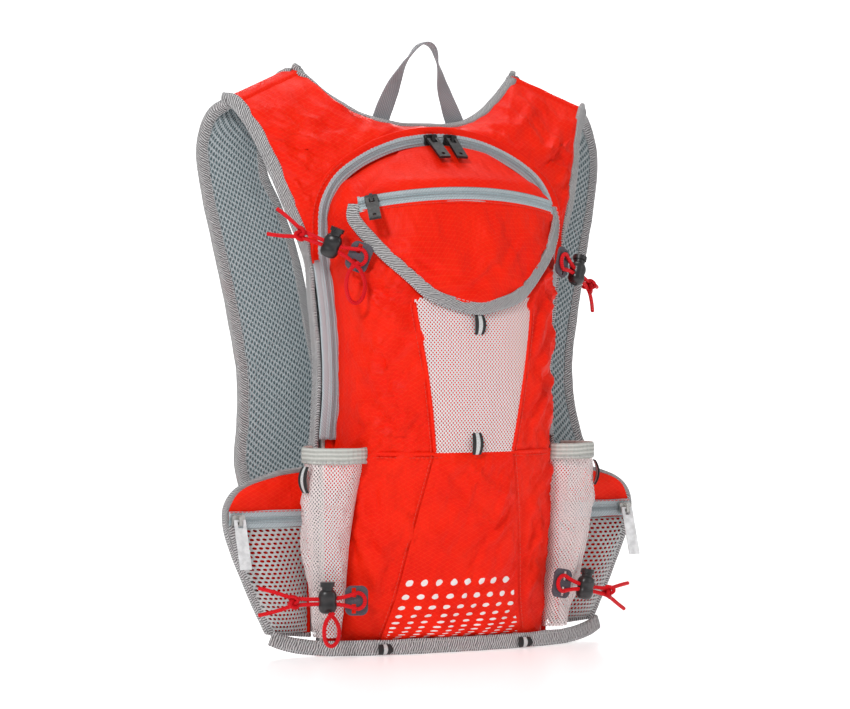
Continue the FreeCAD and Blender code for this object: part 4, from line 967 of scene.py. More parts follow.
def creases(x, z, seed, lean=0.0, reach=0.022):
    """Crisp folds with calm cloth between them, running up and leaning by an angle."""
    cos_lean, sin_lean = math.cos(lean), math.sin(lean)
    across = (x * cos_lean + z * sin_lean) / reach
    along = (z * cos_lean - x * sin_lean) / (reach * 3.4)
    across += 0.55 * noise.noise(Vector((across * 0.5, along * 1.6, seed)))
    broad = max(1 - 2.7 * abs(noise.noise(Vector((across, along, seed + 3)))), 0.0) ** 1.4
    fine = max(1 - 3.0 * abs(noise.noise(Vector((across * 2.4, along * 2.6, seed + 6)))), 0.0) ** 1.4
    return 0.75 * broad + 0.35 * fine - 0.2


# Folds pulled by the cord tabs and seams: from x z, to x z, height and half width.
BAG_FOLDS = (
    (-0.083, 0.297, -0.042, 0.262, 0.0030, 0.0032), (-0.081, 0.283, -0.044, 0.236, 0.0034, 0.0036),
    (-0.079, 0.268, -0.050, 0.205, 0.0026, 0.0034), (-0.074, 0.226, -0.045, 0.160, 0.0030, 0.0038),
    (-0.082, 0.192, -0.056, 0.156, 0.0024, 0.0030), (-0.062, 0.244, -0.052, 0.180, 0.0020, 0.0026),
    (0.083, 0.291, 0.047, 0.262, 0.0030, 0.0032), (0.081, 0.272, 0.050, 0.224, 0.0032, 0.0036),
    (0.078, 0.246, 0.053, 0.190, 0.0024, 0.0030), (0.077, 0.206, 0.052, 0.158, 0.0030, 0.0038),
    (0.084, 0.226, 0.071, 0.165, 0.0020, 0.0028), (-0.079, 0.146, -0.053, 0.070, 0.0030, 0.0036),
    (-0.075, 0.112, -0.056, 0.040, 0.0026, 0.0032), (0.079, 0.141, 0.054, 0.075, 0.0030, 0.0036),
    (0.073, 0.097, 0.058, 0.035, 0.0024, 0.0030),
)
PANEL_FOLDS = (
    (-0.034, 0.147, 0.020, 0.098, 0.0028, 0.0036), (-0.010, 0.148, 0.038, 0.118, 0.0024, 0.0032),
    (-0.040, 0.112, -0.004, 0.070, 0.0022, 0.0034), (0.038, 0.102, 0.008, 0.062, 0.0020, 0.0030),
    (-0.044, 0.082, -0.020, 0.058, 0.0016, 0.0026),
)
POCKET_FOLDS = (
    (-0.066, 0.322, -0.012, 0.289, 0.0026, 0.0036), (-0.032, 0.274, 0.016, 0.301, 0.0022, 0.0034),
    (0.066, 0.318, 0.022, 0.286, 0.0024, 0.0034), (0.040, 0.280, 0.058, 0.304, 0.0018, 0.0028),
    (-0.052, 0.300, -0.030, 0.283, 0.0018, 0.0028),
)
YOKE_FOLDS = (
    (0.078, 0.374, 0.121, 0.407, 0.0036, 0.0036), (0.060, 0.393, 0.099, 0.425, 0.0030, 0.0034),
    (0.096, 0.352, 0.128, 0.386, 0.0034, 0.0034), (0.070, 0.383, 0.132, 0.396, 0.0026, 0.0030),
    (0.100, 0.330, 0.116, 0.356, 0.0026, 0.0028),
)


def strokes(x, z, lines):
    """Height of drawn folds: a ridge that fades at both ends, with a dip beside it."""
    total = 0.0
    for x1, z1, x2, z2, tall, wide in lines:
        run_x, run_z = x2 - x1, z2 - z1
        length = math.hypot(run_x, run_z)
        part = ((x - x1) * run_x + (z - z1) * run_z) / length ** 2
        if not -0.1 < part < 1.1:
            continue
        bow = 0.10 * length * math.sin(math.pi * part)
        aside = ((x - x1) * run_z - (z - z1) * run_x) / length - bow
        fade = max(math.sin(math.pi * (part + 0.1) / 1.2), 0.0) ** 0.8
        ridge = math.exp(-(aside / wide) ** 2) - 0.55 * math.exp(-((aside - 1.7 * wide) / wide) ** 2)
        total += tall * fade * ridge
    return total


def hidden(p):
    """How far a spot of the shell lies under the front pocket or its roof."""
    if p.z < 0.256:
        return 0.0
    across = edge_x(POCKET_EDGE, min(p.z, 0.327)) - abs(p.x)
    roofed = smooth_step(0.345, 0.352, p.z) * smooth_step(0.0, 0.004,
                                                          half_width(p.z, -TAPE_WIDTH) - abs(p.x) - 0.003)
    return max(smooth_step(0.004, 0.012, across) * smooth_step(0.262, 0.272, p.z), roofed)


def bag_front():
    """Red front shell, sewn to the zip tape, with puckers along its seams."""
    rows = []
    for z in bag_levels(BAG_LOW, BAG_TOP - 0.0006, 0.0038):
        row = bag_row(z, 71)
        for i, point in enumerate(row):
            normal = bag_normal(point.x * 0.98, min(z, 0.376))
            seam = math.exp(-((z - 0.1512) / 0.0016) ** 2) * (abs(point.x) < 0.080)
            side = smooth_step(0.030, 0.070, abs(point.x)) * smooth_step(0.0, 0.02,
                                                                         half_width(z) - abs(point.x))
            lean = math.copysign(0.35, point.x) * smooth_step(0.10, 0.24, z)
            pucker = 0.0052 * side * creases(point.x, z, 3.1, lean, 0.021)
            pucker += strokes(point.x, z, BAG_FOLDS) * smooth_step(0.0, 0.016, half_width(z) - abs(point.x))
            pucker *= smooth_step(0.010, 0.040, z) * (1 - smooth_step(0.334, 0.344, z))
            pucker -= 0.0024 * hidden(point)
            row[i] = point + normal * (pucker - 0.0014 * seam)
        rows.append(row)
    shell = grid("bag_front", rows, SHELL, slot="shell_fabric")
    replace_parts(shell, "main_shell")

    def sewn(p):
        rim = half_width(p.z) - TAPE_WIDTH - abs(p.x) < 0.003 or p.z > 0.345 or p.z < 0.014
        under_pocket = p.z > 0.256 and abs(p.x) < edge_x(POCKET_EDGE, min(p.z, 0.327)) - 0.004
        under_mesh = 0.150 < p.z < 0.262 and abs(p.x) < edge_x(MESH_EDGE, p.z) + 0.001
        under_panel = p.z < 0.151 and abs(p.x) < edge_x(PANEL_EDGE, p.z) + 0.001
        hip_seam = abs(p.z - 0.1512) < 0.0025
        return rim or under_pocket or under_mesh or under_panel or hip_seam

    crumple(shell, 0.048, sewn, pressure=0.5, limit=0.0075, bend=0.08)
    return shell


def lower_panel():
    """Red middle panel below the mesh, with the white dot print along its hem."""
    rows = []
    for z in bag_levels(0.0085, 0.1505, 0.0034):
        width = edge_x(PANEL_EDGE, z)
        row = []
        for i in range(41):
            part = -1 + 2 * i / 40
            crown = (1 - part ** 4) * smooth_step(0.0, 0.010, z - 0.0085) * smooth_step(0.0, 0.008,
                                                                                        0.1505 - z)
            ridge = crown * (0.0030 * creases(part * width, z, 21.0, -0.55, 0.024)
                             + strokes(part * width, z, PANEL_FOLDS))
            row.append(on_bag(part * width, z, 0.0012 + 0.0016 * crown + ridge))
        rows.append(row)
    panel = grid("lower_panel_cloth", rows, SHELL_PRINT, slot="shell_fabric")
    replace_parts(panel, "lower_panel")
    crumple(panel, 0.045, lambda p: abs(p.x) > edge_x(PANEL_EDGE, p.z) - 0.0016 or p.z > 0.149
            or p.z < 0.0105,
            pressure=0.4, limit=0.0060, bend=0.08)
    for sign in (-1, 1):
        line = [on_bag(sign * edge_x(PANEL_EDGE, z), z, 0.0009) for z in bag_levels(0.014, 0.150, 0.003)]
        frames = frames_on(line, [bag_normal(p.x, p.z) for p in line])
        stitches(side_name(sign) + "_panel_stitches", frames, -0.0022 * sign * -1, THREAD, lift=0.0006,
                 slot="shell_fabric")


def side_name(sign):
    return "left" if sign < 0 else "right"


def middle_mesh():
    """White knit over the red shell between the pocket and the lower panel."""
    rows = []
    for z in bag_levels(0.1515, 0.2660, 0.0036):
        width = edge_x(MESH_EDGE, z)
        rows.append([on_bag((-1 + i / 16) * width, z, 0.0011 + 0.0006 * (1 - (-1 + i / 16) ** 2))
                     for i in range(33)])
    cloth = grid("middle_mesh_cloth", rows, FINE_MESH, slot="fine_mesh")
    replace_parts(cloth, "centre_mesh_panel")
    for sign in (-1, 1):
        line = [on_bag(sign * edge_x(MESH_EDGE, z), z, 0.0012) for z in bag_levels(0.152, 0.262, 0.003)]
        frames = frames_on(line, [bag_normal(p.x, p.z) for p in line])
        sweep(side_name(sign) + "_mesh_seam", frames, oval(0.0026, 0.0016, 10, 2.4), SHELL, ripple=0.0002,
              seed=sign, slot="shell_fabric")
        stitches(side_name(sign) + "_mesh_stitches", frames, 0.003 * sign, THREAD, slot="shell_fabric")


# --------------------------------------------------------------- front pocket

ZIP_TILT = math.radians(25.0)
ZIP_MIDDLE = Vector((0, SHIFT_Y - 0.0634, POCKET_ZIP_Z))
ZIP_HALF = 0.080


def zip_point(x, across=0.0, lift=0.0):
    """Place on the pocket zip: x from its middle, across the tape and outwards."""
    radius = POCKET_ZIP_R + lift
    angle = math.asin(max(min(x / POCKET_ZIP_R, 0.999), -0.999))
    local = Vector((radius * math.sin(angle), POCKET_ZIP_R - radius * math.cos(angle), across))
    return ZIP_MIDDLE + Matrix.Rotation(-ZIP_TILT, 3, "X") @ local


def zip_drop(x):
    sag = POCKET_ZIP_R - math.sqrt(POCKET_ZIP_R ** 2 - x ** 2)
    return sag * math.sin(ZIP_TILT)


def front_pocket():
    """Shield-shaped pocket that bulges a little and meets its zip's lower tape."""
    low, high = POCKET_EDGE[0][1], 0.3366
    rows = []
    steps = 30
    for r in range(steps + 1):
        share = r / steps
        z = low + (high - low) * share
        width = edge_x(POCKET_EDGE, z)
        for _ in range(3):
            width = edge_x(POCKET_EDGE, min(z - zip_drop(min(width, 0.084)) * share ** 2, 0.3275))
        row = []
        for c in range(57):
            part = -1 + 2 * c / 56
            x = part * width
            height = z - zip_drop(x) * share ** 2
            bulge = 0.0055 * (1 - abs(part) ** 3) * math.sin(math.pi * min(share, 0.97)) ** 0.7
            ridge = 0.0026 * creases(x, height, 41.0, 0.7, 0.026) + strokes(x, height, POCKET_FOLDS)
            ridge *= math.sin(math.pi * share) * (1 - part ** 4)
            place = on_bag(x, height, 0.0022 + bulge + ridge)
            reach = max(min(x, ZIP_HALF), -ZIP_HALF)
            hem = zip_point(reach, -0.0052, 0.0010)
            hem.x = x
            row.append(place.lerp(hem, smooth_step(0.70, 1.0, share)
                                  * (1 - smooth_step(0.078, 0.084, abs(x)))))
        rows.append(row)
    pocket = grid("front_pocket_cloth", rows, SHELL, slot="shell_fabric")
    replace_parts(pocket, "front_pocket")
    top = rows[-1]

    def sewn(p):
        rim = edge_x(POCKET_EDGE, min(p.z, 0.3275)) - abs(p.x) < 0.0042 or p.z < 0.2615
        hem = p.z > high - zip_drop(min(abs(p.x), 0.084)) - 0.0045
        return rim or hem

    crumple(pocket, 0.045, sewn, pressure=0.5, limit=0.0050, bend=0.08)
    frames = frames_on(top[3:-3], [bag_normal(p.x * 0.9, 0.33) for p in top[3:-3]])
    stitches("pocket_hem_stitches", frames, 0.0022, THREAD, lift=0.0004, slot="shell_fabric")


def arch_height(x, margin):
    """Height of the bag's outline above a place near its top."""
    turn = math.atan2(CORNER_X, corner_z() - ARCH_Z)
    if abs(x) < (ARCH_R + margin) * math.sin(turn):
        return ARCH_Z + math.sqrt((ARCH_R + margin) ** 2 - x ** 2)
    return corner_z() + math.sqrt(max((CORNER_R + margin) ** 2 - (abs(x) - CORNER_X) ** 2, 0.0))


def pocket_roof():
    """Red cloth from the zip's upper tape back to the arch."""
    rows = []
    steps = 12
    for r in range(steps + 1):
        share = r / steps
        centre_z = 0.3482 + 0.0270 * share
        width = min(0.0885, half_width(centre_z, -TAPE_WIDTH) - 0.0035)
        row = []
        for c in range(57):
            part = -1 + 2 * c / 56
            x = part * width
            reach = max(min(x, ZIP_HALF), -ZIP_HALF)
            hem = zip_point(reach, 0.0052, 0.0010)
            hem.x = x
            top = max(arch_height(x, -0.0086), hem.z + 0.002)
            height = hem.z + (top - hem.z) * share
            swept = smooth_step(0.350, 0.360, height) * (1 - smooth_step(0.050, 0.064, abs(x)))
            shell = on_bag(x, height, 0.0010) - bag_normal(x * 0.9, 0.360) * (0.0024 * swept)
            start = hem.lerp(on_bag(x, hem.z, 0.0006), smooth_step(0.078, 0.0885, abs(x)))
            place = start.lerp(shell, smooth_step(0.0, 0.6, share))
            place.z = height
            ridge = 0.0026 * creases(x, height, 61.0, 0.9,
                                     0.020) * math.sin(math.pi * share) * (1 - part ** 4)
            calm = 1 - 0.95 * swept
            place += bag_normal(x * 0.9, 0.360) * ridge * calm
            dome = 0.0032 * math.sin(math.pi * share) * (1 - abs(part) ** 4) * calm
            row.append(place + bag_normal(x * 0.9, 0.365) * dome)
        rows.append(row)
    roof = grid("pocket_roof_cloth", rows, SHELL, slot="shell_fabric")
    hem = rows[0][3:-3]
    frames = frames_on(hem, [bag_normal(p.x * 0.9, 0.345) for p in hem])
    stitches("roof_hem_stitches", frames, -0.0022, THREAD, lift=0.0004, slot="shell_fabric")
    return roof


def zip_line(name, frames, tape_half, node, gap=0.0006, teeth_pitch=0.00155):
    """Zip: two tape halves, two raised cords and a row of interlocked coil teeth."""
    pieces = []
    width = tape_half - gap / 2
    for label, sign in (("lower", 1), ("upper", -1)):
        middle = sign * (gap / 2 + width / 2)
        section = [(w + middle, n) for w, n in oval(width, 0.0011, 14, 5.0)]
        pieces.append(sweep("%s_%s_tape" % (name, label), frames, section, ZIP_TAPE, ripple=0.00015,
                            seed=middle * 1000, slot="zip_tape"))
        rope = [(w + sign * 0.0021, n + 0.0007) for w, n in oval(0.0011, 0.0010, 8, 2.0)]
        pieces.append(sweep("%s_%s_cord" % (name, label), frames, rope, COIL, slot="zip_tape"))
    line = [f[0] for f in frames]
    places = even(line, spacing=teeth_pitch / 2)
    spots = []
    for i, place in enumerate(places):
        index = min(round(i / (len(places) - 1) * (len(frames) - 1)), len(frames) - 1)
        _, across, out = frames[index]
        sign = 1 if i % 2 else -1
        spots.append((place + across * (sign * 0.00045) + out * 0.0005, across, out))
    pieces.append(bars(name + "_coil", spots, 0.0017, 0.00062, 0.0008, COIL, slot="zip_tape"))
    for piece in pieces:
        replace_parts(piece, node)
    return pieces


def pocket_zip():
    line = [zip_point(-ZIP_HALF + 2 * ZIP_HALF * i / 80) for i in range(81)]
    normals = [(zip_point(-ZIP_HALF + 2 * ZIP_HALF * i / 80, 0.0, 0.01) - p).normalized() for i,
               p in enumerate(line)]
    zip_line("pocket_zip", frames_on(line, normals), 0.0065, "front_pocket_zip")


def pocket_binding():
    """Ribbed tape round the pocket, from one end of its zip to the other."""
    half = [(x, z) for x, z in POCKET_EDGE[1:]]
    outline = [(-x, z) for x, z in reversed(half)] + [(0.0, 0.2580)] + half
    outline = [(-0.0822, 0.3350)] + outline + [(0.0822, 0.3350)]
    line = [on_bag(p.x, p.z, 0.0036) for p in spline([(x, 0, z) for x, z in outline], 0.0022)]
    frames = frames_on(line, [bag_normal(p.x * 0.97, p.z) for p in line])
    tape = sweep("pocket_binding_tape", frames, oval(0.0100, 0.0034, 20, 3.6), BINDING, ripple=0.0007,
                 seed=4.0,
                 slot="grey_binding")
    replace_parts(tape, "front_pocket_binding")
    stitches("pocket_binding_stitches", frames, 0.0038, THREAD_GREY, lift=0.0017, slot="grey_binding")
    stitches("pocket_binding_outer_stitches", frames, -0.0038, THREAD_GREY, lift=0.0017, slot="grey_binding")


def at(x, y, z):
    """Place in the frame from design axes, whose y = 0 is the face on the wearer's back."""
    return Vector((x, y + SHIFT_Y, z))


def flipped(points, sign):
    return [Vector((p.x * sign, p.y, p.z)) for p in points]


# ----------------------------------------------------------------- main zip

def arch_line(margin, low, y):
    """The bag's outline moved outwards, from low on one side over to the other."""
    centre = corner_z()
    turn = math.atan2(CORNER_X, centre - ARCH_Z)
    radius = ARCH_R + margin
    meet = ARCH_Z + radius * math.cos(turn)
    side = [Vector((-half_width(low + (meet - low) * i / 120, margin), y, low + (meet - low) * i / 120))
            for i in range(120)]
    top = [Vector((radius * math.sin(turn * (-1 + i / 30)), y,
                   ARCH_Z + radius * math.cos(turn * (-1 + i / 30))))
           for i in range(61)]
    return even(side + top + flipped(side[::-1], -1), spacing=0.0022)


def main_zip():
    """Twill tape with a coil round the front, from hip to hip over the top."""
    line = arch_line(-0.004, 0.160, TAPE_FRONT_Y - 0.0002)
    zip_line("main_zip", frames_on(line, Vector((0, -1, 0))), 0.0046, "main_zip")
    outer = arch_line(0.0026, 0.292, TAPE_FRONT_Y + 0.0006)
    frames = frames_on(outer, Vector((0, -1, 0)))
    for sign in (-1, 1):
        side = [Vector((sign * (half_width(z) + 0.0024), TAPE_FRONT_Y + 0.0006, z))
                for z in [0.160 + 0.134 * i / 50 for i in range(51)]]
        welt = sweep(side_name(sign) + "_side_welt", frames_on(side, Vector((0, -1, 0))),
                     oval(0.0060, 0.0022, 14, 3.0), ZIP_TAPE, ripple=0.0003, seed=8.0, slot="zip_tape")
        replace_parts(welt, "main_zip")
    hem = sweep("main_zip_hem", frames, oval(0.0064, 0.0022, 14, 3.0), SHELL, ripple=0.0004, seed=9.0,
                slot="shell_fabric")
    stitches("main_zip_stitches", frames, 0.0022, THREAD, lift=0.0009, slot="shell_fabric")
    return hem


# -------------------------------------------------------- yoke and bindings

# Right half outline of the yoke, x, z and design y, from the neck down the arm.
NECK_LINE = ((0.000, 0.397, 0.010), (0.020, 0.3975, 0.012), (0.038, 0.401, 0.018), (0.054, 0.408, 0.025),
             (0.068, 0.4175, 0.032), (0.080, 0.428, 0.038), (0.090, 0.438, 0.043))
ARM_LINE = ((0.147, 0.413, 0.031), (0.136, 0.393, 0.020), (0.1275, 0.368, 0.008), (0.118, 0.338, -0.002),
            (0.1085, 0.310, -0.007), (0.1035, 0.290, -0.008))
LOWER_EDGE = ((0.0995, 0.265, -0.007), (0.096, 0.235, -0.0065), (0.0945, 0.200, -0.0065),
              (0.0965, 0.165, -0.0065), (0.0975, 0.140, -0.0065), (0.0975, 0.080, -0.0065),
              (0.0975, 0.016, -0.0065))
YOKE_FOCUS_Z = 0.300


def yoke_foot(x, z):
    """Where the line from the yoke's focus to a point leaves the zip arch."""
    aim = math.atan2(x, z - YOKE_FOCUS_Z)
    low, high = 0.040, 0.140
    for _ in range(30):
        reach = (low + high) / 2
        foot_z = YOKE_FOCUS_Z + reach * math.cos(aim)
        inside = foot_z < ARCH_Z + ARCH_R + 0.0015
        inside = inside and abs(reach * math.sin(aim)) < half_width(foot_z, 0.0015)
        low, high = (reach, high) if inside else (low, reach)
    return Vector((reach * math.sin(aim), TAPE_FRONT_Y, YOKE_FOCUS_Z + reach * math.cos(aim)))


def yoke_outline():
    neck = spline([at(x, y, z) for x, z, y in NECK_LINE], 0.0032)
    shoulder = [neck[-1].lerp(at(*[ARM_LINE[0][i] for i in (0, 2, 1)]), i / 18) for i in range(1, 18)]
    arm = spline([at(x, y, z) for x, z, y in ARM_LINE], 0.0034)
    right = neck + shoulder + arm
    return flipped(right[:0:-1], -1) + right


YOKE_RIM = [(p.x, p.z) for p in yoke_outline() if p.x >= 0]


def yoke():
    """Red shoulder yoke with soft folds, lined in spacer mesh."""
    outline = yoke_outline()
    front = []
    lining = []
    for tip in outline:
        foot = yoke_foot(tip.x, tip.z)
        span = (tip - foot).length
        face = []
        back = []
        for i in range(19):
            part = i / 18
            point = foot.lerp(tip, part)
            point.y = foot.y + (tip.y - foot.y) * part ** 1.15
            hold = math.sin(math.pi * part) ** 0.7 * min(span / 0.030, 1.0)
            crease = creases(abs(point.x), point.z, 5.0 + 4 * (point.x > 0), 0.85, 0.022)
            puff = 0.0014 + 0.0036 * crease + strokes(abs(point.x), point.z + 0.004 * (point.x > 0),
                                                      YOKE_FOLDS)
            face.append(point + Vector((0, -0.8, 0.5)).normalized() * max(puff, -0.0006) * hold)
            back.append(point + Vector((0, 0.0030 + 0.0016 * hold, 0)))
        front.append(face)
        lining.append(back)
    sheet = grid("yoke_cloth", front, SHELL, flip=True, slot="shell_fabric")
    back = grid("yoke_lining", lining, SPACER, slot="spacer_mesh")
    for piece in (sheet, back):
        planar(piece)
        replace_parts(piece, "shoulder_yoke")
    crumple(sheet, 0.050, yoke_rim, pressure=0.4, limit=0.0060, bend=0.08, inward=0.0004)
    for sign in (-1, 1):
        seam = []
        for i in range(34):
            part = i / 33
            z = 0.405 - 0.105 * part
            tip = Vector((0.120 - 0.022 * part ** 0.7, 0, z))
            foot = yoke_foot(tip.x, tip.z)
            seam.append(Vector((foot.x + 0.0035 * foot.x / abs(foot.x), TAPE_FRONT_Y - 0.0004, foot.z)))
        frames = frames_on(flipped(seam, sign), Vector((0, -1, 0)))
        stitches(side_name(sign) + "_yoke_stitches", frames, 0.0, THREAD, lift=0.0012, slot="shell_fabric")


def yoke_rim(place):
    """True near the yoke's edges, where it is sewn."""
    foot = yoke_foot(place.x, place.z)
    if (place - foot).length < 0.004:
        return True
    return any(math.hypot(abs(place.x) - x, place.z - z) < 0.006 for x, z in YOKE_RIM)


def neck_and_edges():
    """Folded grosgrain along the neck, the arm holes and the bag's sides."""
    neck = spline([at(x, y + 0.0013, z) for x, z, y in NECK_LINE] + [at(0.0938, 0.0500, 0.4425)], 0.0022)
    line = flipped(neck[:0:-1], -1) + neck
    normals = []
    for i, point in enumerate(line):
        run = (line[min(i + 1, len(line) - 1)] - line[max(i - 1, 0)]).normalized()
        rise = (point - yoke_foot(point.x, point.z)).normalized()
        normals.append(run.cross(rise).normalized() * -1)
    frames = frames_on(line, [n if n.y < 0 else -n for n in normals])
    inset = [(p - (p - yoke_foot(p.x, p.z)).normalized() * 0.0012, a, o) for p, a, o in frames]
    tape = sweep("neck_binding_tape", inset, oval(0.0092, 0.0052, 22, 3.4), BINDING, ripple=0.0006, seed=2.0,
                 slot="grey_binding")
    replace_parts(tape, "neck_binding")
    stitches("neck_binding_stitches", inset, -0.0034 * neck_side(inset), THREAD_GREY, lift=0.0024,
             slot="grey_binding")

    upper = [at(0.1535, 0.0430, 0.4160)] + [at(x, y + 0.0013, z) for x, z, y in ARM_LINE]
    lower = [at(x + 0.0018, y + 0.0013, z) for x, z, y in LOWER_EDGE]
    line = spline(upper + lower, 0.0024)
    for sign in (-1, 1):
        side = flipped(line, sign)
        normals = []
        for p in side:
            rise = (p - yoke_foot(p.x, max(p.z, 0.300))).normalized()
            flat = rise.cross(Vector((0, 0, 1))).normalized()
            flat = flat if flat.y < 0 else -flat
            share = smooth_step(0.270, 0.350, p.z)
            normals.append((flat * share + Vector((sign, 0, 0)) * (1 - share)).normalized())
        frames = frames_on(side, normals)
        tape = sweep(side_name(sign) + "_edge_tape", frames, oval(0.0108, 0.0042, 22, 3.4), BINDING,
                     ripple=0.0006, seed=3.0 + sign, slot="grey_binding")
        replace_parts(tape, "edge_bindings")
        for offset in (-0.0038, 0.0038):
            stitches("%s_edge_stitches_%s" % (side_name(sign), "in" if offset < 0 else "out"), frames, offset,
                     THREAD_GREY, lift=0.0019, slot="grey_binding")


def neck_side(frames):
    """1 when the frames' across direction points up at the middle."""
    return 1 if frames[len(frames) // 2][1].z > 0 else -1


# ------------------------------------------------------------------- straps

# Right strap: inner and outer edge of the outer face as x, z, design y, then the
# step in y and z from that face to the lining.
STRAP_SECTIONS = (
    ((0.0925, 0.4405, 0.0490), (0.1515, 0.416, 0.0395), (-0.0015, -0.0058)),
    ((0.0960, 0.4400, 0.0550), (0.1540, 0.413, 0.0460), (-0.0040, -0.0045)),
    ((0.1020, 0.4310, 0.0600), (0.1610, 0.404, 0.0540), (-0.0060, -0.0010)),
    ((0.1140, 0.3960, 0.0580), (0.1675, 0.386, 0.0560), (-0.0060, 0.0)),
    ((0.1170, 0.3630, 0.0550), (0.1680, 0.366, 0.0550), (-0.0060, 0.0)),
    ((0.1050, 0.3340, 0.0530), (0.1630, 0.334, 0.0530), (-0.0060, 0.0)),
    ((0.0930, 0.3000, 0.0510), (0.1560, 0.301, 0.0510), (-0.0060, 0.0)),
    ((0.0830, 0.2500, 0.0480), (0.1465, 0.252, 0.0480), (-0.0060, 0.0)),
    ((0.0770, 0.2060, 0.0450), (0.1400, 0.208, 0.0450), (-0.0060, 0.0)),
    ((0.0800, 0.1720, 0.0400), (0.1420, 0.172, 0.0400), (-0.0060, 0.0)),
    ((0.0860, 0.1440, 0.0320), (0.1470, 0.144, 0.0320), (-0.0060, 0.0)),
    ((0.0900, 0.1220, 0.0180), (0.1480, 0.122, 0.0180), (-0.0060, 0.0)),
    ((0.0920, 0.1000, 0.0080), (0.1460, 0.100, 0.0080), (-0.0060, 0.0)),
)


def strap_lines(sign):
    """Matching dense points: inner edge, outer edge and the step to the lining."""
    inner = [at(x, y, z) for (x, z, y), _, _ in STRAP_SECTIONS]
    outer = [at(x, y, z) for _, (x, z, y), _ in STRAP_SECTIONS]
    steps = [Vector((0, y, z)) for _, _, (y, z) in STRAP_SECTIONS]
    lines = []
    for points in (inner, outer, steps):
        ends = [points[0] * 2 - points[1]] + points + [points[-1] * 2 - points[-2]]
        dense = []
        for a, b, c, d in zip(ends, ends[1:], ends[2:], ends[3:]):
            for step in range(12):
                t = step / 12
                dense.append(0.5 * (2 * b + (c - a) * t + (2 * a - 5 * b + 4 * c - d) * t ** 2
                                    + (3 * b - a - 3 * c + d) * t ** 3))
        dense.append(points[-1])
        lines.append([Vector((p.x * sign, p.y, p.z)) for p in dense])
    return lines


def straps():
    """Padded straps: cloth outside, spacer mesh towards the body, taped edges."""
    for sign in (-1, 1):
        side = side_name(sign)
        inner, outer, steps = strap_lines(sign)
        face = []
        lining = []
        count = len(inner)
        for i in range(count):
            across = outer[i] - inner[i]
            down = steps[i]
            ends = smooth_step(0.0, 0.05, i / count) * smooth_step(0.0, 0.06, 1 - i / count)
            top = []
            under = []
            for c in range(25):
                part = 0.03 + 0.94 * c / 24
                crown = (1 - abs(2 * part - 1) ** 2.6) * ends
                wave = 0.0007 * noise.noise(Vector((part * 3, i * 0.11, 2.0 + sign)))
                spot = inner[i] + across * part
                top.append(spot - down.normalized() * (0.0012 * crown + wave * ends - 0.0004))
                under.append(spot + down + down.normalized() * (0.0022 * crown + wave * ends - 0.0004))
            face.append(top)
            lining.append(under)
        cloth = grid(side + "_strap_cloth", face, SHELL, flip=sign > 0, slot="shell_fabric")
        pad = grid(side + "_strap_lining", lining, SPACER, flip=sign < 0, slot="spacer_mesh")
        for piece in (cloth, pad):
            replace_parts(piece, side + "_strap")
        for label, line, part in (("inner", inner, 1), ("outer", outer, -1)):
            path = [p + steps[i] * 0.5 + (outer[i] - inner[i]).normalized() * part * 0.0022
                    for i, p in enumerate(line)]
            frames = frames_on(path, [s.normalized() for s in steps])
            tape = sweep("%s_strap_%s_tape" % (side, label), frames, oval(0.0090, 0.0080, 22, 3.6), BINDING,
                         ripple=0.0006, seed=sign * 2 + part, slot="grey_binding")
            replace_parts(tape, "strap_bindings")
            inward = part * (1 if frames[5][1].dot(outer[5] - inner[5]) > 0 else -1)
            stitches("%s_strap_%s_stitches" % (side, label), frames, 0.0030 * inward, THREAD_GREY,
                     lift=0.0040,
                     slot="grey_binding")


# -------------------------------------------------------------- side pockets

# Height, seam x, and the place that the pocket bulges to.
POCKET_LEVELS = ((0.015, 0.084, 0.099, -0.029), (0.045, 0.084, 0.108, -0.036), (0.080, 0.083, 0.116, -0.038),
                 (0.115, 0.080, 0.119, -0.038), (0.1435, 0.077, 0.1165, -0.038))
POCKET_TOP = (0.1557, 0.076, 0.115, -0.038)
POCKET_BACK = (0.103, -0.0132)


def arc_through(first, middle, last, count):
    """Evenly spaced points of the circle arc through three level points."""
    ax, ay, bx, by, cx, cy = first.x, first.y, middle.x, middle.y, last.x, last.y
    d = 2 * (ax * (by - cy) + bx * (cy - ay) + cx * (ay - by))
    a2, b2, c2 = ax * ax + ay * ay, bx * bx + by * by, cx * cx + cy * cy
    centre = Vector(((a2 * (by - cy) + b2 * (cy - ay) + c2 * (ay - by)) / d,
                     (a2 * (cx - bx) + b2 * (ax - cx) + c2 * (bx - ax)) / d, first.z))
    start = math.atan2(ay - centre.y, ax - centre.x)
    through = math.atan2(by - centre.y, bx - centre.x)
    stop = math.atan2(cy - centre.y, cx - centre.x)
    full = (stop - start) % (2 * math.pi)
    if (through - start) % (2 * math.pi) > full:
        full -= 2 * math.pi
    radius = (first - centre).length
    return [centre + Vector((math.cos(start + full * i / (count - 1)),
                             math.sin(start + full * i / (count - 1)), 0))
            * radius for i in range(count)]


def pocket_arc(level, count, grow=0.0):
    z, seam_x, bulge_x, bulge_y = level
    seam = Vector((seam_x, bag_y(seam_x, z) - 0.0006 - grow, z))
    return arc_through(seam, at(bulge_x + grow, bulge_y - grow, z),
                       at(POCKET_BACK[0] + grow, POCKET_BACK[1], z), count)


def pocket_level(z):
    for a, b in zip(POCKET_LEVELS, POCKET_LEVELS[1:] + (POCKET_TOP,)):
        if z <= b[0]:
            part = max(z - a[0], 0.0) / (b[0] - a[0])
            return (z,) + tuple(p + (q - p) * part for p, q in zip(a[1:], b[1:]))
    return POCKET_TOP


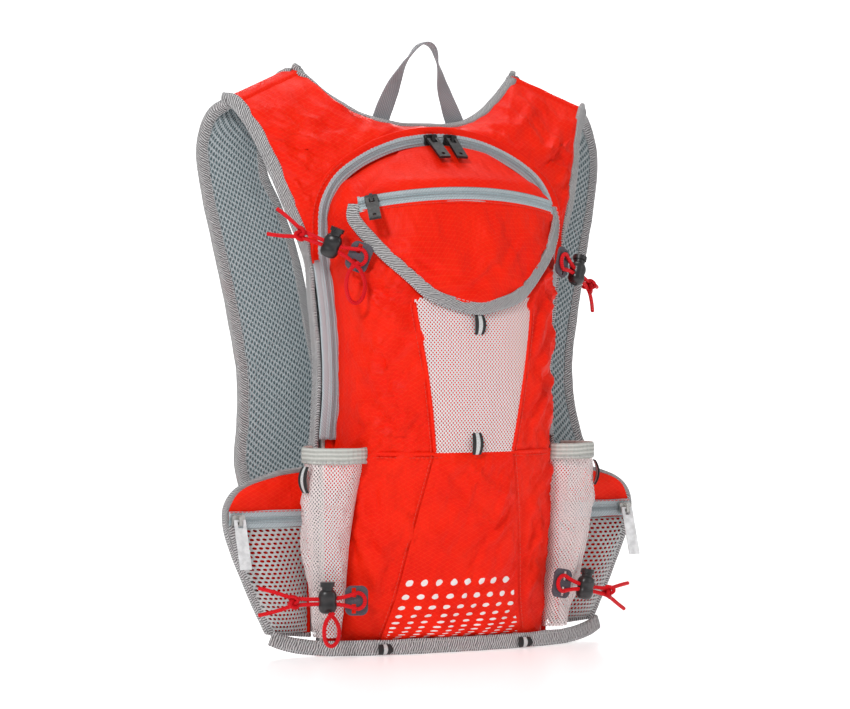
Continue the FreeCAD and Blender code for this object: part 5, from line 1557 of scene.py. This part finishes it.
def side_pockets():
    """White knit pockets with soft folds, and the elastic round their tops."""
    for sign in (-1, 1):
        side = side_name(sign)
        rows = []
        for r in range(37):
            z = 0.0135 + (0.1470 - 0.0135) * r / 36
            line = pocket_arc(pocket_level(max(z, 0.015)), 49)
            for i, p in enumerate(line):
                part = i / 48
                hold = math.sin(math.pi * part) ** 0.8 * smooth_step(0.0135, 0.035, z)
                near_top = smooth_step(0.090, 0.147, z)
                gather = math.sin(part * 60 + 2 * noise.noise(Vector((part * 5, z * 20, sign)))) * near_top
                drape = noise.noise(Vector((part * 4.2, z * 16, 11.0 + sign)))
                out = (p - Vector((0.080, at(0, -0.010, 0).y, p.z))).normalized()
                p += out * hold * (0.0008 * gather + 0.0024 * drape)
                p.z = z
            rows.append(flipped(line, sign))
        cloth = grid(side + "_pocket_cloth", rows, FINE_MESH, flip=sign > 0, slot="fine_mesh")
        crumple(cloth, 0.035, lambda p: p.z > 0.143 or p.z < 0.017 or abs(p.x) < 0.0875
                or p.y > SHIFT_Y - 0.0175,
                pressure=0.2, limit=0.0045, bend=0.2)
        rim = pocket_arc(POCKET_LEVELS[0], 40)
        floor_rows = [[Vector((a.x * sign, a.y, 0.0142)), Vector((b.x * sign, b.y, 0.0142))]
                      for a, b in zip(rim, [rim[0].lerp(rim[-1], i / 39) for i in range(40)])]
        floor = grid(side + "_pocket_floor", floor_rows, FINE_MESH, slot="fine_mesh")
        for piece in (cloth, floor):
            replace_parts(piece, side + "_side_pocket")
        line = pocket_arc(pocket_level(0.1496), 70, 0.0014)
        out = Vector((0.080, at(0, -0.010, 0).y, 0.1496))
        path = flipped(line, sign)
        normals = [Vector(((p.x - out.x) * sign, p.y - out.y, 0)).normalized() for p in line]
        frames = frames_on(path, normals)
        for i, (p, _, n) in enumerate(frames):
            p += n * 0.0004 * math.sin(i * 1.9)
        band = sweep(side + "_pocket_elastic", frames, oval(0.0122, 0.0026, 22, 3.6), ELASTIC, ripple=0.0004,
                     seed=6.0 + sign, slot="elastic_band")
        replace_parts(band, "pocket_elastics")
        down = 1 if frames[20][1].z < 0 else -1
        stitches(side + "_elastic_stitches", frames, 0.0042 * down, THREAD_GREY, pitch=0.0026, lift=0.0013,
                 slot="elastic_band")


# -------------------------------------------------------------------- wings

WING_EDGE = ((0.1015, 0.013), (0.136, 0.016), (0.150, 0.045), (0.163, 0.075), (0.1695, 0.097),
             (0.1685, 0.113), (0.157, 0.126), (0.128, 0.136), (0.1015, 0.139))


def wing_outline(inset=0.0, spacing=0.0024):
    """Closed outline of a wing, x and z, starting at its lower inner corner."""
    line = spline([(x, 0, z) for x, z in WING_EDGE[1:-1]], spacing)
    first = Vector((WING_EDGE[0][0], 0, WING_EDGE[0][1]))
    last = Vector((WING_EDGE[-1][0], 0, WING_EDGE[-1][1]))
    line = even([first, line[0]], spacing=spacing)[:-1] + line + even([line[-1], last], spacing=spacing)[1:]
    line += even([last, first], spacing=spacing)[1:-1]
    centre = Vector((0.130, 0, 0.078))
    return [p + (centre - p).normalized() * inset for p in line], centre


def wing_reach(z):
    """Outer edge of a wing at a height."""
    edge = [(x, h) for x, h in WING_EDGE[1:6]]
    for (x1, z1), (x2, z2) in zip(edge, edge[1:]):
        if z <= z2:
            return x1 + (x2 - x1) * max(z - z1, 0.0) / (z2 - z1)
    return edge[-1][0]


def lattice(name, surface, across, along, wide, tall, material, **extra):
    """Knit sheet with a real oval opening in every cell of a staggered lattice."""
    vertices = []
    faces = []
    uvs = []
    count = 12
    for row in range(int(along / tall)):
        shift = 0.5 * (row % 2)
        for column in range(-1, int(across / wide) + 1):
            middle_u = (column + 0.5 + shift) * wide
            middle_v = (row + 0.5) * tall
            left = max(middle_u - wide / 2, 0.0)
            right = min(middle_u + wide / 2, across)
            if right - left < wide * 0.2:
                continue
            start = len(vertices)
            for ring in (1.0, 0.0):
                for i in range(count):
                    turn = 2 * math.pi * (i + 0.5) / count
                    c, s = math.cos(turn), math.sin(turn)
                    if ring:
                        scale = 1 / max(abs(c), abs(s))
                        u = middle_u + c * scale * wide / 2
                        v = middle_v + s * scale * tall / 2
                    else:
                        u = middle_u + c * wide * 0.36
                        v = middle_v + s * tall * 0.33
                    vertices.append(surface(min(max(u, left), right), v))
            for i in range(count):
                j = (i + 1) % count
                faces.append((start + i, start + j, start + count + j, start + count + i))
                uvs += [(0, 0), (0.001, 0), (0.001, 0.0005), (0, 0.0005)]
    return mesh_piece(name, vertices, faces, uvs, material, **extra)


def wings():
    """Padded hip wings: cloth, lining, coarse mesh pocket, zip and taped edge."""
    for sign in (-1, 1):
        side = side_name(sign)
        outline, centre = wing_outline()
        face = []
        lining = []
        for share in (1.0, 0.985, 0.95, 0.88, 0.78, 0.66, 0.54, 0.42, 0.30, 0.18, 0.07):
            ring = []
            under = []
            for p in outline:
                q = centre.lerp(p, share)
                top = math.sin(math.pi * smooth_step(0.109, 0.139, q.z))
                edge = min(1 - share, 0.14) / 0.14
                crease = 0.0012 * noise.noise(Vector((q.x * 60, q.z * 60, 3.0)))
                puff = (0.0042 * top + crease * (q.z > 0.109)) * math.sin(math.pi / 2 * edge)
                rim = 0.0022 * (1 - math.sin(math.pi / 2 * min((1 - share) / 0.05, 1.0)))
                ring.append(Vector((q.x * sign, WING_Y + 0.0003 - puff + rim, q.z)))
                back = 0.0012 * math.sin(math.pi / 2 * edge)
                under.append(Vector((q.x * sign, SHIFT_Y - 0.0004 + back - rim, q.z)))
            face.append(ring)
            lining.append(under)
        cloth = grid(side + "_wing_cloth", face, SHELL, wrap=True, capped=True, flip=sign < 0,
                     slot="shell_fabric")
        pad = grid(side + "_wing_lining", lining, SPACER, wrap=True, capped=True, flip=sign > 0,
                   slot="spacer_mesh")
        for piece in (cloth, pad):
            planar(piece)
            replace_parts(piece, side + "_wing")
        rim, _ = wing_outline(0.0010, 0.0026)
        closed = rim + rim[:2]
        edge_line = [Vector((p.x * sign, SHIFT_Y - 0.0032, p.z)) for p in closed[:len(rim) - 24]]
        frames = frames_on(edge_line, Vector((0, -1, 0)))
        tape = sweep(side + "_wing_edge_tape", frames, oval(0.0040, 0.0074, 18, 3.2), BINDING, ripple=0.0005,
                     seed=12.0 + sign, slot="grey_binding")
        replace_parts(tape, side + "_wing")

        low, high = 0.017, 0.0945

        def dome(u, v, sign=sign):
            share = v / (high - low)
            z = low + v
            outer = wing_reach(z) - 0.003
            x = 0.106 + (outer - 0.106) * min(max(u / 0.060, 0.0), 1.0)
            rise = 0.0130 * math.sin(math.pi * min(max(share, 0.0), 1.0)) ** 0.6
            part = (x - 0.106) / (outer - 0.106)
            crown = math.sin(math.pi * part ** 1.25) ** 0.75
            wave = 0.0010 * noise.noise(Vector((x * 55, z * 40, 5.0 + sign))) * crown
            return Vector((x * sign, WING_Y - 0.0006 - rise * crown - wave, z))

        mesh = lattice(side + "_wing_mesh", dome, 0.060, high - low, 0.0050, 0.0031, COARSE_MESH,
                       slot="coarse_mesh")
        thicken(mesh, 0.0007)
        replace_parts(mesh, "wing_meshes")
        bound = []
        for i in range(40):
            z = 0.016 + 0.082 * i / 39
            bound.append(Vector(((wing_reach(z) - 0.0032) * sign, WING_Y - 0.0010, z)))
        frames = frames_on(bound, Vector((0, -1, 0)))
        sweep(side + "_wing_mesh_tape", frames, oval(0.0048, 0.0022, 16, 3.0), BINDING, ripple=0.0004,
              seed=14.0 + sign, slot="grey_binding")
        run = [Vector((x * sign, SHIFT_Y - 0.0076, WING_ZIP_Z)) for x in
               [0.106 + 0.062 * i / 40 for i in range(41)]]
        zip_line(side + "_wing_zip", frames_on(run, Vector((0, -1, 0))), 0.0065, "wing_zips")
        seam = [Vector((p.x, SHIFT_Y - 0.0088, p.z + 0.0058)) for p in run]
        stitches(side + "_wing_zip_stitches", frames_on(seam, Vector((0, -1, 0))), 0.0, THREAD,
                 slot="shell_fabric")


# ------------------------------------------------- base, back panel and loops

# Right half of the base binding: x, design y, height of its lower edge.
BASE_LINE = ((0.0, -0.0425, 0.0), (0.030, -0.042, 0.0), (0.058, -0.0385, 0.0), (0.080, -0.033, 0.0),
             (0.099, -0.027, 0.0), (0.115, -0.0205, 0.0015), (0.127, -0.0155, 0.004), (0.137, -0.011, 0.008))


def base_tape():
    right = spline([at(x, y - 0.0015, z + 0.00575) for x, y, z in BASE_LINE], 0.0024)
    line = flipped(right[:0:-1], -1) + right
    normals = []
    for i in range(len(line)):
        run = line[min(i + 1, len(line) - 1)] - line[max(i - 1, 0)]
        run.z = 0
        normals.append(Vector((run.y, -run.x, 0)).normalized())
    frames = frames_on(line, normals)
    tape = sweep("base_binding_tape", frames, oval(0.0114, 0.0036, 22, 3.6), BINDING, ripple=0.0007,
                 seed=21.0,
                 slot="grey_binding")
    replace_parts(tape, "base_binding")
    for offset in (-0.0038, 0.0038):
        stitches("base_stitches_%s" % ("in" if offset < 0 else "out"), frames, offset, THREAD_GREY,
                 lift=0.0017,
                 slot="grey_binding")


def quilt(x, z):
    """0 along the back panel's quilting lines, 1 between them."""
    near = min(abs(abs(x) - 0.033), abs(abs(x) - 0.070) if z < 0.33 else 1.0)
    for level in (0.075, 0.150, 0.225, 0.300):
        if abs(x) < 0.033:
            near = min(near, abs(z - level - 0.012 * math.cos(x * 60)))
    return smooth_step(0.0, 0.009, near)


def back_panel():
    """Quilted spacer mesh on the wearer's back."""
    rows = []
    for r in range(103):
        z = 0.002 + (ARCH_Z + ARCH_R + 0.002 - 0.002) * r / 102
        width = half_width(min(z, ARCH_Z + ARCH_R - 0.003), 0.003)
        row = []
        for c in range(61):
            part = -1 + 2 * c / 60
            x = part * width
            edge = smooth_step(0.0, 0.010, width - abs(x)) * smooth_step(0.0, 0.012, z - 0.002)
            edge *= smooth_step(0.0, 0.012, ARCH_Z + ARCH_R - 0.001 - z)
            row.append(Vector((x, SHIFT_Y - 0.0016 + 0.0036 * edge * quilt(x, z), z)))
        rows.append(row)
    panel = grid("back_panel_cloth", rows, SPACER, flip=True, slot="spacer_mesh")
    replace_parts(panel, "back_panel")


# The loop's middle line, and its turn: 0 has its width along Y, 90 across the line.
LOOP_PATH = ((-0.0320, 0.0265, 0.3985), (-0.0270, 0.0255, 0.413), (-0.0200, 0.0225, 0.431),
             (-0.0125, 0.0190, 0.447), (-0.0045, 0.0160, 0.4585), (0.0030, 0.0150, 0.4615),
             (0.0095, 0.0155, 0.457), (0.0145, 0.0180, 0.445), (0.0195, 0.0215, 0.430),
             (0.0265, 0.0245, 0.414), (0.0340, 0.0265, 0.3985))
LOOP_TURNS = (90.0, 84.0, 66.0, 40.0, 14.0, 0.0, -14.0, -40.0, -66.0, -84.0, -90.0)


def haul_loop():
    """Webbing loop at the neck, sewn flat behind the collar and edge-on over the top."""
    line = spline([at(x, y, z) for x, y, z in LOOP_PATH], 0.0016)
    frames = []
    for i, point in enumerate(line):
        run = (line[min(i + 1, len(line) - 1)] - line[max(i - 1, 0)]).normalized()
        place = i / (len(line) - 1) * (len(LOOP_TURNS) - 1)
        step = min(int(place), len(LOOP_TURNS) - 2)
        turn = math.radians(LOOP_TURNS[step] + (LOOP_TURNS[step + 1] - LOOP_TURNS[step]) * (place - step))
        side = Vector((run.z, 0, -run.x)).normalized()
        depth = Vector((0, 1, 0))
        across = depth * math.cos(turn) + side * math.sin(turn)
        frames.append((point, across, across.cross(run).normalized()))
    ribbon = sweep("haul_loop_webbing", frames, oval(0.0150, 0.0018, 20, 4.2), WEBBING, ripple=0.0003,
                   seed=31.0,
                   body="haul_loop", slot="webbing")
    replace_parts(ribbon, "haul_loop")
    for sign, foot in ((-1, LOOP_PATH[0]), (1, LOOP_PATH[-1])):
        x, y, z = foot
        path = spline([at(x, y - 0.0006, z + 0.002), at(x + sign * 0.0010, y - 0.0015, z - 0.004),
                       at(x + sign * 0.0012, y - 0.0070, z - 0.0085), at(x + sign * 0.0010, y - 0.016,
                                                                         z - 0.0105)],
                      0.0014)
        patch = frames_on(path, [Vector((0, 1, 0)).lerp(Vector((0, 0.35, -1)), i / len(path)).normalized()
                                 for i in range(len(path))])
        sweep(side_name(sign) + "_haul_anchor", patch, oval(0.0152, 0.0020, 20, 4.2), WEBBING, slot="webbing")
        stitches(side_name(sign) + "_haul_stitches", patch, 0.0050, THREAD_GREY, lift=0.0010, slot="webbing")


def ribbon_loop(name, low, high, out, bulge, width):
    """Short reflective loop sewn down at both ends, standing off in the middle."""
    line = []
    for i in range(21):
        part = i / 20
        rise = math.sin(math.pi * part) ** 0.8
        line.append(low.lerp(high, part) + out * (bulge * rise))
    frames = frames_on(line, out)
    section = oval(width, 0.0011, 18, 4.0)
    loop = sweep(name, frames, section, STRIPE, slot="reflective_tape",
                 taper=lambda share: 1 - 0.22 * abs(2 * share - 1) ** 2)
    layer = loop.data.uv_layers[WEAVE]
    for corner in loop.data.loops:
        ring, spot = divmod(corner.vertex_index, len(section))
        layer.data[corner.index].uv = (section[spot][0], ring * 0.0007)
    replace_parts(loop, "tape_loops")


def tape_loops():
    for label, z, width, tall in (("upper", 0.246, 0.009, 0.014), ("hip", 0.158, 0.009, 0.016)):
        y = bag_y(0.0, z, 0.0012) - 0.0012
        ribbon_loop(label + "_light_loop", Vector((0, y, z - tall / 2)), Vector((0, y, z + tall / 2)),
                    Vector((0, -1, 0)), 0.0026, width)
    for sign in (-1, 1):
        side = side_name(sign)
        low = at(sign * 0.058, -0.0432, 0.0012)
        ribbon_loop(side + "_base_loop", low, low + Vector((0, 0, 0.0070)), Vector((0, -1, 0)), 0.0022, 0.012)
        rim = pocket_arc(POCKET_LEVELS[-1], 101)
        spot = rim[62]
        out = (rim[62] - rim[60]).cross(Vector((0, 0, 1))).normalized()
        out = out if out.dot(spot - at(0.080, -0.010, spot.z)) > 0 else -out
        spot = spot + out * 0.0036
        low = Vector((spot.x * sign, spot.y, 0.1225))
        ribbon_loop(side + "_pocket_loop", low, low + Vector((0, 0, 0.0190)),
                    Vector((out.x * sign, out.y, 0)),
                    0.0030, 0.010)


# ------------------------------------------------------------ the modelled parts

def lock_bodies():
    """Rounded barrel of each cord lock, the size of the modelled one."""
    for name in CORD_UNITS:
        axes = unit_axes(name)
        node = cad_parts[name + "_lock"]
        inside = [axes.inverted() @ (node.matrix_world @ v.co) for v in node.data.vertices]
        low = [min(p[i] for p in inside) for i in range(3)]
        high = [max(p[i] for p in inside) for i in range(3)]
        middle = Vector([(a + b) / 2 for a, b in zip(low, high)])
        half = [(b - a) / 2 for a, b in zip(low, high)]
        rows = []
        for r in range(21):
            tip = math.pi * (r + 0.35) / 20.7 - math.pi / 2
            long_way = math.copysign(abs(math.sin(tip)) ** 0.75, math.sin(tip))
            reach = abs(math.cos(tip)) ** 0.5
            waist = 1 - 0.13 * math.exp(-(long_way / 0.22) ** 2)
            row = []
            for c in range(28):
                turn = 2 * math.pi * c / 28
                x = half[0] * reach * waist * math.copysign(abs(math.cos(turn)) ** 0.85, math.cos(turn))
                z = half[2] * reach * waist * math.copysign(abs(math.sin(turn)) ** 0.85, math.sin(turn))
                row.append(axes @ (middle + Vector((x, half[1] * long_way, z))))
            rows.append(row)
        shell = grid(name + "_lock_barrel", rows, PLASTIC, wrap=True, capped=True, body=name + "_lock",
                     slot="black_plastic")
        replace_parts(shell, name + "_lock")


def shoulder_caps():
    """Cloth that carries the yoke over the shoulder on to the strap."""
    neck_end = at(NECK_LINE[-1][0], NECK_LINE[-1][2], NECK_LINE[-1][1])
    arm_end = at(ARM_LINE[0][0], ARM_LINE[0][2], ARM_LINE[0][1])
    for sign in (-1, 1):
        inner, outer, steps = strap_lines(1)
        rows = []
        for c in range(21):
            part = c / 20
            edge = neck_end.lerp(arm_end, part)
            share = 0.02 + 0.96 * part
            first = inner[2].lerp(outer[2], share) - steps[2].normalized() * 0.0016
            second = inner[11].lerp(outer[11], share) - steps[11].normalized() * 0.0018
            third = inner[22].lerp(outer[22], share) - steps[22].normalized() * 0.0012
            puff = 0.0008 * noise.noise(Vector((part * 5, sign, 0.4)))
            path = spline([edge + Vector((0, -0.0012, -0.0012)), edge + Vector((0, 0.0008, 0.0030 + puff)),
                           first, second, third], 0.0016)
            rows.append(flipped(even(path, count=16), sign))
        cap = grid(side_name(sign) + "_shoulder_cap", rows, SHELL, flip=sign > 0, slot="shell_fabric")
        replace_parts(cap, "shoulder_yoke")


def hip_seam():
    """Folded seam across the bag where the lower part is sewn on."""
    line = [on_bag(-0.079 + 0.158 * i / 90, 0.1508, 0.0004) for i in range(91)]
    frames = frames_on(line, [bag_normal(p.x, p.z) for p in line])
    sweep("hip_seam_fold", frames, oval(0.0030, 0.0020, 12, 2.4), SHELL, ripple=0.0003, seed=51.0,
          slot="shell_fabric")
    stitches("hip_seam_stitches", frames, 0.0026, THREAD, lift=0.0008, slot="shell_fabric")


NODE_FINISH = {
    "back_foam": FOAM, "rear_wall": SHELL_CAD, "base_panel": SHELL_CAD, "reservoir": BLADDER,
    "hydration_sleeve": SHELL_CAD, "reservoir_cap": BLUE, "reservoir_port": BLUE,
    "sternum_webbing": WEBBING_CAD,
    "sternum_adjusters": PLASTIC, "buckle_housing": PLASTIC, "upper_buckle_arm": PLASTIC,
    "lower_buckle_arm": PLASTIC, "cord_tabs": TAB,
}


def node_finish(name):
    if name in NODE_FINISH:
        return NODE_FINISH[name]
    if "wing" in name and name.endswith("_slider"):
        return NICKEL
    if "wing" in name and name.endswith("_pull"):
        return RIBBON
    if name.endswith(("_slider", "_pull")):
        return ENAMEL
    if name.endswith(("_lock", "_button")):
        return PLASTIC
    return None


def dress_nodes():
    for name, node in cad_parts.items():
        finish = node_finish(name)
        if finish:
            node.data.materials.clear()
            node.data.materials.append(finish)
            node.data.polygons.foreach_set("material_index", [0] * len(node.data.polygons))


bag_front()
lower_panel()
middle_mesh()
front_pocket()
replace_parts(pocket_roof(), "front_pocket")
pocket_zip()
pocket_binding()
main_zip()
yoke()
neck_and_edges()
straps()
side_pockets()
wings()
base_tape()
back_panel()
haul_loop()
tape_loops()
shoulder_caps()
hip_seam()
lock_bodies()
run_cloth()
cord_units()
dress_nodes()
studio()


bpy.context.view_layer.update()
